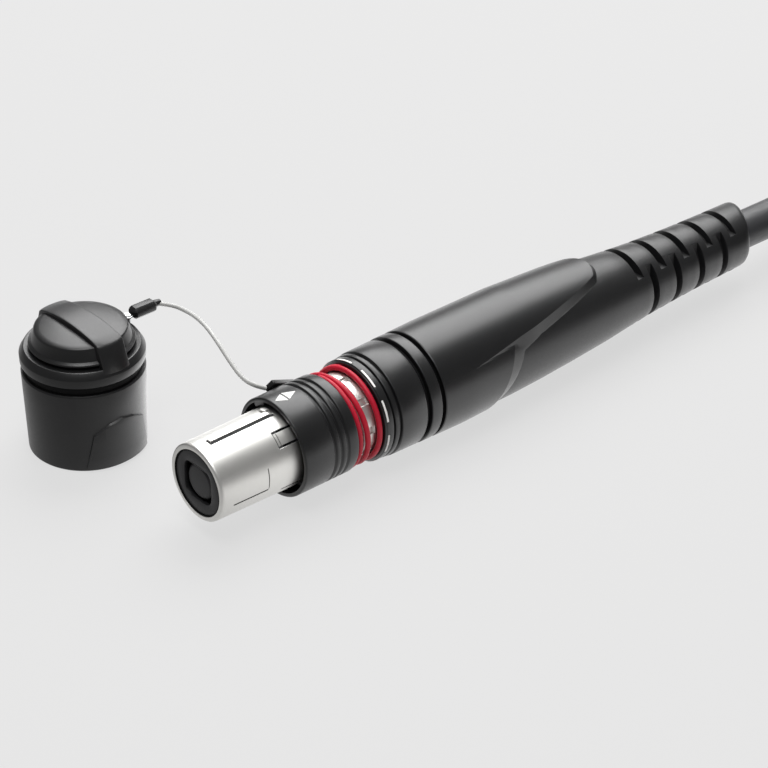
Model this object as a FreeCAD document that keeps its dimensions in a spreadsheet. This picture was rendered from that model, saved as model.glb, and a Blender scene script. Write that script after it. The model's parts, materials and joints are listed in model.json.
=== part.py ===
import FreeCAD
import Part
import math
import os
import Sketcher

doc = FreeCAD.newDocument("FibrePlug")
sheet = doc.addObject("Spreadsheet::Sheet", "Sizes")
V = FreeCAD.Vector
X_AXIS = V(1, 0, 0)
Y_AXIS = V(0, 1, 0)
Z_AXIS = V(0, 0, 1)


class Size:
    """A length that carries both its value and the sheet expression behind it."""

    def __init__(self, value, text):
        self.value = float(value)
        self.text = text

    @staticmethod
    def of(other):
        if isinstance(other, Size):
            return other
        return Size(other, repr(float(other)))

    def __add__(self, other):
        other = Size.of(other)
        return Size(self.value + other.value, f"({self.text} + {other.text})")

    def __sub__(self, other):
        other = Size.of(other)
        return Size(self.value - other.value, f"({self.text} - {other.text})")

    def __mul__(self, other):
        other = Size.of(other)
        return Size(self.value * other.value, f"({self.text} * {other.text})")

    def __truediv__(self, other):
        other = Size.of(other)
        return Size(self.value / other.value, f"({self.text} / {other.text})")

    __radd__ = __add__

    def __rsub__(self, other):
        return Size.of(other) - self

    __rmul__ = __mul__


class Table:
    """Driving dimensions, one sheet row each, read back by name."""

    def __init__(self):
        self.row = 0
        self.sizes = {}

    def put(self, name, value):
        self.row += 1
        sheet.set(f"A{self.row}", name)
        sheet.set(f"B{self.row}", str(value))
        sheet.setAlias(f"B{self.row}", name)
        self.sizes[name] = Size(value, f"Sizes.{name}")

    def __getattr__(self, name):
        return self.sizes[name]


T = Table()
DIMENSIONS = {
    # shared clearances
    "fit_gap": 0.05, "slide_gap": 0.4, "seal_gap": 0.05,
    # nose
    "nose_front_r": 9.6, "nose_rear_r": 9.9, "nose_wall_x": 27.0, "nose_round": 0.6, "nose_bore_r": 8.6,
    "guide_r": 10.4, "guide_slope": 2.0, "nose_end_x": 47.0,
    "rail_x": 3.5, "rail_length": 18.0, "rail_width": 2.6, "rail_height": 0.35, "rail_stop": 1.6,
    "window_inset": 2.8, "window_length": 5.5, "window_width": 4.7, "window_turn": 42.5,
    "panel_x": 3.4, "panel_length": 10.1, "panel_width": 5.7, "panel_depth": 0.25,
    # insert, shutter and ferrule
    "insert_x": 0.3, "insert_skirt": 4.0, "lip_r": 8.0, "lip_length": 1.6, "cavity_width": 9.8,
    "cavity_height": 9.4, "cavity_end_x": 11.0, "holder_r": 6.5,
    "shutter_r": 4.4, "shutter_thick": 0.9, "shutter_x": 0.9, "shutter_rod_r": 0.45, "rod_end_room": 0.4,
    "rod_room": 0.25, "rod_drop": 0.65, "shutter_rod_x": 1.2, "shutter_lug": 3.0,
    "ferrule_width": 6.4, "ferrule_height": 2.5, "ferrule_out": 0.4, "ferrule_length": 8.0,
    "guide_pin_r": 0.35, "guide_pin_pitch": 4.6, "guide_pin_out": 1.0,
    "spring_room_r": 3.3, "spring_room_length": 7.4, "ferrule_wire_r": 0.3, "ferrule_coil_r": 2.9,
    "ferrule_pitch": 1.5, "push_length": 10.0, "push_flange": 2.0, "latch_wall": 1.25, "finger_gap": 0.35,
    "ribbon_width": 3.1, "ribbon_thick": 0.3, "ribbon_room": 0.2,
    # sleeve and return spring
    "sleeve_length": 15.8, "sleeve_r": 12.4, "sleeve_mouth_r": 11.5, "sleeve_mouth_deep": 8.3,
    "sleeve_groove_inset": 7.1, "sleeve_groove_pitch": 1.9, "sleeve_groove": 0.5,
    "sleeve_groove_deep": 0.35,
    "spring_space": 7.5, "spring_wire_r": 0.62, "spring_coil_r": 11.5, "spring_pitch": 2.5,
    "spring_gap": 0.1,
    # spring seat, collar, barrel
    "seat_overlap": 1.5, "seat_lip": 0.6, "seat_tail": 1.2, "seat_front_r": 12.5, "seat_wall": 2.45,
    "slot_inset": 0.2, "slot_width": 0.6, "slot_turn": 24.0, "slot_pitch": 40.0, "slot_start": 25.0,
    "slot_deep": 0.7, "core_r": 9.9, "core_bore_r": 6.4,
    "collar_step": 1.3, "collar_groove": 0.6, "collar_nose_r": 13.0, "collar_r": 13.35,
    "collar_length": 10.4,
    "seal_width": 1.1, "seal_recess": 0.45, "ring_width": 3.2, "barrel_r": 13.5,
    # grip shell and boot, station by station
    "grip_r": 13.75, "grip_swell": 8.0, "grip_flat": 9.0, "grip_fall": 6.0, "grip_mid_r": 13.3,
    "grip_end_r": 12.5,
    "grip_tail": 1.8, "cut_foot": 2.0, "cut_foot_z": 13.0, "cut_corner": 2.0, "cut_corner_z": 7.0,
    "cut_tip": 1.3,
    "cut_tip_z": 11.0, "cut_rear_z": 12.5,
    "grip_seat": 14.0, "boot_front_r": 12.75, "boot_level": 8.0, "boot_b": 14.0, "boot_b_r": 12.36,
    "boot_c": 10.0, "boot_c_r": 11.78, "boot_d": 10.0, "boot_d_r": 11.2, "boot_e": 8.4,
    "boot_e_r": 10.45, "boot_f": 6.6, "boot_f_r": 9.87, "boot_g": 11.0, "boot_g_r": 9.15,
    "boot_h": 10.0, "boot_h_r": 8.68, "boot_i": 17.6, "boot_i_r": 8.3, "boot_j": 2.6, "boot_j_r": 7.95,
    "boot_tail": 1.5, "boot_end_r": 6.6, "boot_cavity_r": 9.0, "cavity_inset": 2.0, "core_inset": 2.0,
    "boot_slot_inset": 1.0, "boot_slot_pitch": 8.7, "boot_slot_width": 2.2, "boot_slot_floor_r": 6.9,
    "boot_slot_turn": 104.0, "clamp_inset": 1.0,
    # cable, coil and far plug
    "cable_r": 5.0, "cable_inset": 4.5, "cable_free": 84.3, "coil_mid_r": 52.0, "coil_half_width": 10.0,
    "coil_height": 30.0, "coil_gap": 0.5, "tie_width": 14.0, "tie_thick": 1.6, "tie_gap": 0.4,
    "far_lead": 8.0,
    "far_turn_r": 42.0, "far_cap_r": 15.0,
    # cap
    "cap_x": 3.62, "cap_y": 48.3, "cap_foot_r": 14.3, "cap_top_r": 14.9, "cap_bore_r": 12.95,
    "cap_bore_deep": 21.0, "cap_roof": 0.9, "cap_groove": 1.5, "cap_groove_r": 14.2, "flange_r": 15.0,
    "flange_split": 2.4, "flange_height": 4.7, "flange_top_r": 14.3, "tier_neck_r": 11.7,
    "tier_neck": 0.4,
    "tier_r": 12.5, "tier_height": 1.0, "knob_wall_r": 11.85, "knob_wall": 2.5, "dome_r": 11.2,
    "dome_shoulder_r": 8.0, "dome_mid": 0.5, "dome_top_r": 4.0, "dome_top": 0.85, "bar_width": 7.2,
    "bar_half_length": 13.2, "bar_draft": 1.6, "bar_rise": 2.1, "bar_end_rise": 0.6,
    "disc_gap": 0.55, "disc_thick": 1.2,
    # lanyard
    "rope_r": 0.55, "terminal_length": 6.2, "terminal_width": 3.6, "terminal_height": 2.9, "pin_r": 0.8,
    "pin_height": 2.6, "pin_inset": 1.5, "lug_width": 3.0, "lug_thick": 1.4, "lug_inset": 6.9,
    "lug_rise": 1.1, "lug_turn": 45.3, "lug_reach": 1.9, "lug_end_turn": 80.5,
    "strap_lead": 2.0, "strap_seat": 6.5, "strap_out": 1.95, "strap_low": -0.2, "strap_height": 2.8,
    "strap_sink": 1.6,
}
for dimension_name, dimension in DIMENSIONS.items():
    T.put(dimension_name, dimension)
doc.recompute()

# stations and radii that follow from the sizes above, front to back
T.sizes["guide_x"] = T.nose_wall_x + T.guide_slope
T.sizes["rail_end_x"] = T.rail_x + T.rail_length
T.sizes["insert_end_x"] = T.cavity_end_x + T.insert_skirt
T.sizes["window_x"] = T.insert_end_x + T.window_inset
T.sizes["shutter_rod_z"] = T.cavity_height * 0.5 - T.rod_drop
T.sizes["shutter_rod_length"] = T.cavity_width + T.rod_end_room * 2.0
T.sizes["ferrule_x"] = T.cavity_end_x - T.ferrule_out
T.sizes["holder_end_x"] = T.ferrule_x + T.ferrule_length + T.spring_room_length
T.sizes["push_end_x"] = T.holder_end_x + T.push_length
T.sizes["latch_end_x"] = T.push_end_x - T.push_flange - T.fit_gap
T.sizes["latch_inner_r"] = T.nose_bore_r - T.fit_gap - T.latch_wall
T.sizes["seat_x"] = T.nose_end_x - T.seat_overlap
T.sizes["seat_r"] = T.guide_r + T.seat_wall
T.sizes["seat_step_x"] = T.seat_x + T.seat_lip
T.sizes["seat_end_x"] = T.nose_end_x + T.seat_tail
T.sizes["slot_x"] = T.seat_step_x + T.slot_inset
T.sizes["sleeve_end_x"] = T.seat_x - T.spring_space
T.sizes["sleeve_x"] = T.sleeve_end_x - T.sleeve_length
T.sizes["sleeve_step_x"] = T.sleeve_x + T.sleeve_mouth_deep
T.sizes["sleeve_groove_x"] = T.sleeve_end_x - T.sleeve_groove_inset
T.sizes["collar_groove_x"] = T.seat_end_x + T.collar_step
T.sizes["collar_end_x"] = T.seat_end_x + T.collar_length
T.sizes["grip_x"] = T.collar_end_x + T.seal_width * 2.0 + T.ring_width
T.sizes["grip_swell_x"] = T.grip_x + T.grip_swell
T.sizes["boot_x"] = T.grip_x + T.grip_seat
T.sizes["boot_level_x"] = T.boot_x + T.boot_level
T.sizes["boot_b_x"] = T.boot_level_x + T.boot_b
T.sizes["boot_c_x"] = T.boot_b_x + T.boot_c
T.sizes["boot_d_x"] = T.boot_c_x + T.boot_d
T.sizes["boot_e_x"] = T.boot_d_x + T.boot_e
T.sizes["boot_f_x"] = T.boot_e_x + T.boot_f
T.sizes["boot_g_x"] = T.boot_f_x + T.boot_g
T.sizes["boot_h_x"] = T.boot_g_x + T.boot_h
T.sizes["boot_i_x"] = T.boot_h_x + T.boot_i
T.sizes["boot_j_x"] = T.boot_i_x + T.boot_j
T.sizes["boot_end_x"] = T.boot_j_x + T.boot_tail
T.sizes["boot_slot_x"] = T.boot_f_x - T.boot_slot_inset
T.sizes["grip_taper_x"] = T.boot_level_x + T.grip_flat
T.sizes["grip_mid_x"] = T.boot_b_x + T.grip_fall
T.sizes["grip_end_x"] = T.boot_d_x + T.grip_tail
T.sizes["cut_foot_x"] = T.boot_x + T.cut_foot
T.sizes["cut_corner_x"] = T.boot_level_x + T.cut_corner
T.sizes["cut_tip_x"] = T.boot_d_x - T.cut_tip
T.sizes["core_end_x"] = T.boot_b_x - T.core_inset
T.sizes["boot_cavity_x"] = T.boot_c_x - T.cavity_inset
T.sizes["clamp_end_x"] = T.boot_cavity_x - T.clamp_inset
T.sizes["cable_x"] = T.boot_cavity_x - T.cable_inset
T.sizes["ribbon_end_x"] = T.cable_x - T.fit_gap
T.sizes["cap_height"] = T.cap_bore_deep + T.cap_roof
T.sizes["disc_r"] = T.cap_bore_r - T.disc_gap

nodes = []


def bind(obj, prop, size):
    """Tie one property of an object to the sheet."""
    obj.setExpression(prop, Size.of(size).text)


def place(obj, x=None, y=None, z=None):
    """Tie an object's position to the sheet, axis by axis."""
    for axis, size in (("x", x), ("y", y), ("z", z)):
        if size is not None:
            bind(obj, f"Placement.Base.{axis}", size)


def plane_of(body, role):
    return next(f for f in body.Origin.OriginFeatures if f.Role == role)


def polygon_sketch(body, points, role="XZ_Plane"):
    """Closed sketch whose every corner is held to the sheet."""
    sketch = body.newObject("Sketcher::SketchObject", body.Name + "Profile")
    sketch.AttachmentSupport = [(plane_of(body, role), "")]
    sketch.MapMode = "FlatFace"
    corners = [(Size.of(a), Size.of(b)) for a, b in points]
    count = len(corners)
    for i in range(count):
        a, b = corners[i], corners[(i + 1) % count]
        sketch.addGeometry(Part.LineSegment(V(a[0].value, a[1].value, 0), V(b[0].value, b[1].value, 0)),
                           False)
    for i in range(count):
        sketch.addConstraint(Sketcher.Constraint("Coincident", i, 2, (i + 1) % count, 1))
    for i, (across, up) in enumerate(corners):
        for kind, size, axis in (("DistanceX", across, -2), ("DistanceY", up, -1)):
            if abs(size.value) < 1e-9:
                sketch.addConstraint(Sketcher.Constraint("PointOnObject", i, 1, axis))
                continue
            if size.value > 0:
                rule = Sketcher.Constraint(kind, -1, 1, i, 1, size.value)
                text = size.text
            else:
                rule = Sketcher.Constraint(kind, i, 1, -1, 1, -size.value)
                text = f"-1 * {size.text}"
            index = sketch.addConstraint(rule)
            sketch.setExpression(f"Constraints[{index}]", text)
    return sketch


def turned(name, points, axis="H_Axis"):
    """Body turned about the plug axis (H_Axis) or about its own upright axis (V_Axis)."""
    body = doc.addObject("PartDesign::Body", name)
    sketch = polygon_sketch(body, points)
    spin = body.newObject("PartDesign::Revolution", name + "Turn")
    spin.Profile = sketch
    spin.ReferenceAxis = (sketch, [axis])
    spin.Angle = 360.0
    body.Tip = spin
    doc.recompute()
    return body


def extruded(name, points, length, role="XZ_Plane"):
    """Body pushed out equally to both sides of a plane."""
    body = doc.addObject("PartDesign::Body", name)
    sketch = polygon_sketch(body, points, role)
    pad = body.newObject("PartDesign::Pad", name + "Pad")
    pad.Profile = sketch
    pad.Midplane = True
    bind(pad, "Length", length)
    body.Tip = pad
    doc.recompute()
    return body


def coiled(name, start_x, coil_r, wire_r, pitch, height):
    """Wire spring wound about the plug axis."""
    body = doc.addObject("PartDesign::Body", name)
    sketch = body.newObject("Sketcher::SketchObject", name + "Wire")
    sketch.AttachmentSupport = [(plane_of(body, "XZ_Plane"), "")]
    sketch.MapMode = "FlatFace"
    sketch.addGeometry(Part.Circle(V(start_x.value, coil_r.value, 0), Z_AXIS, wire_r.value), False)
    for kind, size in (("DistanceX", start_x), ("DistanceY", coil_r)):
        index = sketch.addConstraint(Sketcher.Constraint(kind, -1, 1, 0, 3, size.value))
        sketch.setExpression(f"Constraints[{index}]", size.text)
    index = sketch.addConstraint(Sketcher.Constraint("Radius", 0, wire_r.value))
    sketch.setExpression(f"Constraints[{index}]", wire_r.text)
    helix = body.newObject("PartDesign::AdditiveHelix", name + "Helix")
    helix.Profile = sketch
    helix.ReferenceAxis = (sketch, ["H_Axis"])
    helix.Mode = 0
    bind(helix, "Pitch", pitch)
    bind(helix, "Height", height)
    body.Tip = helix
    doc.recompute()
    return body


def box(name, length, width, height, x, y, z):
    """Box with one corner at x, y, z."""
    obj = doc.addObject("Part::Box", name)
    bind(obj, "Length", length)
    bind(obj, "Width", width)
    bind(obj, "Height", height)
    place(obj, x, y, z)
    doc.recompute()
    return obj


def centred_box(name, length, width, height, x, y=0.0, z=0.0):
    """Box that starts at x and is centred on y and z."""
    width, height = Size.of(width), Size.of(height)
    return box(name, length, width, height, x, y - width / 2, z - height / 2)


def rod(name, radius, length, x=0.0, y=0.0, z=0.0, axis=X_AXIS, angle=None):
    """Round bar from x, y, z along an axis."""
    obj = doc.addObject("Part::Cylinder", name)
    bind(obj, "Radius", radius)
    bind(obj, "Height", length)
    if angle is not None:
        bind(obj, "Angle", angle)
    obj.Placement.Rotation = FreeCAD.Rotation(Z_AXIS, axis)
    place(obj, x, y, z)
    doc.recompute()
    return obj


def cut(name, base, *tools):
    """Base with one or more tools taken away."""
    for i, tool in enumerate(tools):
        result = doc.addObject("Part::Cut", name if i == len(tools) - 1 else f"{name}Step{i}")
        result.Base = base
        result.Tool = tool
        base = result
    doc.recompute()
    return base


def joined(name, *pieces):
    result = doc.addObject("Part::MultiFuse", name)
    result.Shapes = list(pieces)
    doc.recompute()
    return result


def gathered(name, *pieces):
    result = doc.addObject("Part::Compound", name)
    result.Links = list(pieces)
    doc.recompute()
    return result


def common(name, *pieces):
    result = doc.addObject("Part::MultiCommon", name)
    result.Shapes = list(pieces)
    doc.recompute()
    return result


def node(obj, label):
    obj.Label = label
    nodes.append(obj)
    return obj


def sector(name, inner_r, outer_r, x, width, degrees, centre):
    """Part of a ring about the plug axis, centred on an angle from +Z towards -Y."""
    outer = rod(name + "Outer", outer_r, width, x=x, angle=degrees)
    inner = rod(name + "Inner", inner_r, width + 2.0, x=x - 1.0)
    piece = cut(name, outer, inner)
    mid = outer.Shape.CenterOfMass
    now = math.degrees(math.atan2(-mid.y, mid.z))
    outer.Placement = outer.Placement.multiply(
        FreeCAD.Placement(V(0, 0, 0), FreeCAD.Rotation(Z_AXIS, centre - now)))
    place(outer, x, 0.0, 0.0)
    doc.recompute()
    return piece


def spun_box(name, length, width, height, x, base_r, degrees):
    """Box standing on a radius, turned about the plug axis from +Z towards -Y."""
    width = Size.of(width)
    c, s = math.cos(math.radians(degrees)), math.sin(math.radians(degrees))
    obj = doc.addObject("Part::Box", name)
    bind(obj, "Length", length)
    bind(obj, "Width", width)
    bind(obj, "Height", height)
    obj.Placement.Rotation = FreeCAD.Rotation(X_AXIS, degrees)
    place(obj, x, width * (-0.5 * c) - base_r * s, width * (-0.5 * s) + base_r * c)
    doc.recompute()
    return obj


# nose shell: turned tube with key rail, latch windows and a shallow side panel
nose_turn = turned("NoseTurn", [
    (0, T.nose_bore_r), (0, T.nose_front_r - T.nose_round),
    (T.nose_round * 0.3, T.nose_front_r - T.nose_round * 0.3),
    (T.nose_round, T.nose_front_r), (T.nose_wall_x, T.nose_rear_r), (T.guide_x, T.guide_r),
    (T.nose_end_x, T.guide_r), (T.nose_end_x, T.nose_bore_r)])
rail = spun_box("Rail", T.rail_end_x - T.rail_x, T.rail_width, T.rail_height + 1.0, T.rail_x,
                T.nose_front_r - 0.7, 0.0)
rail_stop = spun_box("RailStop", T.rail_stop, T.rail_width * 1.5, T.rail_height + 1.2, T.rail_end_x,
                     T.nose_front_r - 0.7, 0.0)
window_turns = [T.window_turn.value + 90.0 * i for i in range(4)]
windows = [spun_box(f"Window{i}", T.window_length, T.window_width, 4.0, T.window_x, T.nose_bore_r - 1.5,
                    t)
           for i, t in enumerate(window_turns)]
panel_floor = rod("PanelFloor", T.nose_front_r - T.panel_depth, T.panel_length + 2.0, x=T.panel_x - 1.0)
panel_block = box("PanelBlock", T.panel_length, 6.0, T.panel_width, T.panel_x,
                  T.nose_front_r * -1.0 - 2.0,
                  T.panel_width * -0.5)
panel = cut("PanelTool", panel_block, panel_floor)
nose = cut("NoseShell", joined("NoseRailed", nose_turn, rail, rail_stop), *windows, panel)
node(nose, "nose_shell")

# insert with a shutter room, and the seal round its lip
insert_turn = turned("InsertTurn", [
    (T.insert_x, 0), (T.insert_x, T.lip_r), (T.insert_x + T.lip_length, T.lip_r),
    (T.insert_x + T.lip_length, T.nose_bore_r - T.fit_gap), (T.insert_end_x, T.nose_bore_r - T.fit_gap),
    (T.insert_end_x, T.holder_r + T.fit_gap), (T.cavity_end_x, T.holder_r + T.fit_gap),
    (T.cavity_end_x, 0)])
cavity = centred_box("Cavity", T.cavity_end_x + 2.0, T.cavity_width, T.cavity_height, T.insert_x - 1.0)
rod_room = rod("RodRoom", T.shutter_rod_r + T.rod_room, T.shutter_rod_length + 0.8, x=T.shutter_rod_x,
               y=T.shutter_rod_length * 0.5 + 0.4, z=T.shutter_rod_z, axis=V(0, -1, 0))
node(cut("NoseInsert", insert_turn, cavity, rod_room), "nose_insert")
node(turned("InsertSeal", [
    (T.insert_x + 0.1, T.lip_r + T.seal_gap), (T.insert_x + 0.1, T.nose_bore_r - T.seal_gap),
    (T.insert_x + T.lip_length - T.seal_gap, T.nose_bore_r - T.seal_gap),
    (T.insert_x + T.lip_length - T.seal_gap, T.lip_r + T.seal_gap)]), "insert_seal")

# shutter: round door on a cross rod at the top of the room
door = rod("Door", T.shutter_r, T.shutter_thick, x=T.shutter_x)
door_bar = rod("DoorBar", T.shutter_rod_r, T.shutter_rod_length, x=T.shutter_rod_x,
               y=T.shutter_rod_length * 0.5,
               z=T.shutter_rod_z, axis=V(0, -1, 0))
door_lug = box("DoorLug", T.shutter_thick, T.shutter_lug, 2.0, T.shutter_x,
               T.shutter_lug * -0.5, T.shutter_rod_z - 2.0)
node(joined("Shutter", door, door_bar, door_lug), "shutter")

# ferrule group
ferrule_end_x = T.ferrule_x + T.ferrule_length
ferrule_block = centred_box("FerruleBlock", T.ferrule_length, T.ferrule_width, T.ferrule_height,
                            T.ferrule_x)
pin_holes = [rod(f"PinHole{i}", T.guide_pin_r + T.fit_gap, T.ferrule_length + 2.0, x=T.ferrule_x - 1.0,
                 y=T.guide_pin_pitch * side) for i, side in enumerate((-0.5, 0.5))]
node(cut("Ferrule", ferrule_block, *pin_holes), "fibre_ferrule")
pins = [rod(f"Pin{i}", T.guide_pin_r, T.ferrule_length + T.guide_pin_out - 0.5,
            x=T.ferrule_x - T.guide_pin_out,
            y=T.guide_pin_pitch * side) for i, side in enumerate((-0.5, 0.5))]
node(gathered("GuidePins", *pins), "guide_pins")
holder_turn = turned("HolderTurn", [
    (T.cavity_end_x + T.fit_gap, 0), (T.cavity_end_x + T.fit_gap, T.holder_r),
    (T.holder_end_x, T.holder_r),
    (T.holder_end_x, T.spring_room_r), (ferrule_end_x, T.spring_room_r), (ferrule_end_x, 0)])
holder_slot = centred_box("HolderSlot", T.ferrule_length + 2.0, T.ferrule_width + T.fit_gap * 2.0,
                          T.ferrule_height + T.fit_gap * 2.0, T.cavity_end_x - 1.0)
node(cut("FerruleHolder", holder_turn, holder_slot), "ferrule_holder")
node(coiled("FerruleSpring", ferrule_end_x + T.ferrule_wire_r + T.fit_gap, T.ferrule_coil_r,
            T.ferrule_wire_r,
            T.ferrule_pitch, T.holder_end_x - ferrule_end_x - T.ferrule_wire_r * 2.0 - T.fit_gap * 2.0),
     "ferrule_spring")
push_turn = turned("PushTurn", [
    (T.holder_end_x + T.fit_gap, 0), (T.holder_end_x + T.fit_gap, T.holder_r),
    (T.push_end_x - T.push_flange, T.holder_r), (T.push_end_x - T.push_flange, T.nose_bore_r - T.fit_gap),
    (T.push_end_x, T.nose_bore_r - T.fit_gap), (T.push_end_x, 0)])
push_slot = centred_box("PushSlot", T.push_length * 2.0, T.ribbon_width + T.ribbon_room * 2.0,
                        T.ribbon_thick + T.ribbon_room * 2.0, T.holder_end_x - T.push_length * 0.5)
node(cut("SpringPush", push_turn, push_slot), "spring_push")
node(centred_box("FibreRibbon", T.ribbon_end_x - ferrule_end_x, T.ribbon_width, T.ribbon_thick,
                 ferrule_end_x),
     "fibre_ribbon")

# latch ring with four ramped fingers standing in the nose windows
latch_turn = turned("LatchTurn", [
    (T.insert_end_x + T.fit_gap, T.latch_inner_r),
    (T.insert_end_x + T.fit_gap, T.nose_bore_r - T.fit_gap),
    (T.latch_end_x, T.nose_bore_r - T.fit_gap), (T.latch_end_x, T.latch_inner_r)])
finger_ramp = turned("FingerRamp", [
    (T.window_x + T.finger_gap, T.nose_bore_r - 0.3), (T.window_x + T.finger_gap, T.nose_bore_r + 0.3),
    (T.window_x + T.finger_gap + 1.2, T.nose_rear_r - 0.05),
    (T.window_x + T.window_length - T.finger_gap, T.nose_rear_r - 0.05),
    (T.window_x + T.window_length - T.finger_gap, T.nose_bore_r - 0.3)])
finger_blocks = [spun_box(f"FingerBlock{i}", T.window_length, T.window_width - T.finger_gap * 2.0, 4.0,
                          T.window_x,
                          T.nose_bore_r - 1.0, t) for i, t in enumerate(window_turns)]
fingers = common("Fingers", finger_ramp, joined("FingerBlocks", *finger_blocks))
node(joined("LatchRing", latch_turn, fingers), "latch_ring")

# locking sleeve with three finger grooves
groove_points = []
for i in range(3):
    at = T.sleeve_groove_x + T.sleeve_groove_pitch * float(i)
    floor_r = T.sleeve_r - T.sleeve_groove_deep
    groove_points += [(at - T.sleeve_groove, T.sleeve_r), (at - T.sleeve_groove * 0.5, floor_r),
                      (at + T.sleeve_groove * 0.5, floor_r), (at + T.sleeve_groove, T.sleeve_r)]
sleeve_bore_r = T.guide_r + T.slide_gap
node(turned("LockingSleeve", [
    (T.sleeve_x, T.sleeve_mouth_r), (T.sleeve_x, T.sleeve_r - 0.25), (T.sleeve_x + 0.3, T.sleeve_r),
    *groove_points,
    (T.sleeve_end_x - 0.3, T.sleeve_r), (T.sleeve_end_x, T.sleeve_r - 0.3),
    (T.sleeve_end_x, sleeve_bore_r),
    (T.sleeve_step_x, sleeve_bore_r), (T.sleeve_step_x, T.sleeve_mouth_r)]), "locking_sleeve")
spring_start = T.sleeve_end_x + T.spring_wire_r + T.spring_gap
node(coiled("ReturnSpring", spring_start, T.spring_coil_r, T.spring_wire_r, T.spring_pitch,
            T.seat_x - T.spring_wire_r - T.spring_gap - spring_start), "return_spring")

# slotted spring seat with bright inserts
seat_turn = turned("SeatTurn", [
    (T.seat_x, T.guide_r + T.fit_gap), (T.seat_x, T.seat_front_r), (T.seat_step_x, T.seat_front_r),
    (T.seat_step_x, T.seat_r), (T.seat_end_x, T.seat_r), (T.seat_end_x, T.guide_r + T.fit_gap)])
slot_angles = [T.slot_start.value + T.slot_pitch.value * i for i in range(9)]
slot_tools = [sector(f"SeatSlot{i}", T.seat_r - T.slot_deep, T.seat_r + 1.0, T.slot_x, T.slot_width,
                     T.slot_turn + 1.0, a) for i, a in enumerate(slot_angles)]
node(cut("SpringSeat", seat_turn, joined("SeatSlots", *slot_tools)), "spring_seat")
slot_fills = [sector(f"SeatFill{i}", T.seat_r - T.slot_deep + T.fit_gap, T.seat_r + 0.02,
                     T.slot_x + T.fit_gap,
                     T.slot_width - T.fit_gap * 2.0, T.slot_turn, a) for i, a in enumerate(slot_angles)]
node(gathered("SeatInserts", *slot_fills), "seat_inserts")

# core tube, collar, seals and barrel ring
node(turned("CoreTube", [
    (T.push_end_x + T.fit_gap, T.core_bore_r), (T.push_end_x + T.fit_gap, T.nose_bore_r - T.fit_gap),
    (T.nose_end_x + T.fit_gap, T.nose_bore_r - T.fit_gap), (T.nose_end_x + T.fit_gap, T.guide_r),
    (T.seat_end_x, T.guide_r), (T.seat_end_x, T.core_r), (T.core_end_x, T.core_r),
    (T.core_end_x, T.core_bore_r)]),
     "core_tube")
core_fit_r = T.core_r + T.fit_gap
collar_x = T.seat_end_x + T.fit_gap
collar_profile = [
    (collar_x, core_fit_r), (collar_x, T.collar_nose_r), (T.collar_groove_x, T.collar_nose_r + 0.1),
    (T.collar_groove_x, T.collar_nose_r - 0.3),
    (T.collar_groove_x + T.collar_groove, T.collar_nose_r - 0.3),
    (T.collar_groove_x + T.collar_groove, T.collar_r - 0.3),
    (T.collar_groove_x + T.collar_groove + 0.5, T.collar_r),
    (T.collar_end_x, T.collar_r + 0.05), (T.collar_end_x, core_fit_r)]
node(turned("Collar", collar_profile), "collar")


def groove_seal(name, x):
    """Rubber ring sunk between two hard rings."""
    return turned(name, [
        (x + T.seal_gap, core_fit_r), (x + T.seal_gap, T.barrel_r - T.seal_recess),
        (x + T.seal_width - T.seal_gap, T.barrel_r - T.seal_recess),
        (x + T.seal_width - T.seal_gap, core_fit_r)])


ring_x = T.collar_end_x + T.seal_width
ring_end_x = ring_x + T.ring_width
grip_x = T.grip_x
node(groove_seal("FrontSeal", T.collar_end_x), "groove_seal_front")
node(turned("BarrelRing", [(ring_x, core_fit_r), (ring_x, T.barrel_r), (ring_end_x, T.barrel_r),
                           (ring_end_x, core_fit_r)]), "barrel_ring")
node(groove_seal("RearSeal", ring_end_x), "groove_seal_rear")

# grip shell: turned shell, rear edge cut to a tongue
boot_fit_r = T.boot_front_r + T.fit_gap
grip_turn = turned("GripTurn", [
    (grip_x, core_fit_r), (grip_x, T.barrel_r - 0.2), (grip_x + 0.2, T.barrel_r),
    (T.grip_swell_x, T.grip_r),
    (T.grip_taper_x, T.grip_r), (T.grip_mid_x, T.grip_mid_r), (T.grip_end_x, T.grip_end_r),
    (T.grip_end_x, T.boot_d_r - 0.1), (T.boot_d_x, T.boot_d_r + T.fit_gap),
    (T.boot_c_x, T.boot_c_r + T.fit_gap),
    (T.boot_b_x, T.boot_b_r + T.fit_gap), (T.boot_level_x, boot_fit_r),
    (T.boot_x - T.fit_gap, boot_fit_r),
    (T.boot_x - T.fit_gap, core_fit_r)])
tongue_tool = extruded("TongueTool", [
    (T.cut_foot_x, T.cut_foot_z * -1.0 - 6.0), (T.cut_foot_x, T.cut_foot_z * -1.0),
    (T.cut_corner_x, T.cut_corner_z), (T.cut_tip_x, T.cut_tip_z), (T.grip_end_x, T.cut_rear_z),
    (T.grip_end_x + 8.0, T.cut_rear_z), (T.grip_end_x + 8.0, T.cut_foot_z * -1.0 - 6.0)], T.grip_r * 4.0)
node(cut("GripShell", grip_turn, tongue_tool), "grip_shell")

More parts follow.
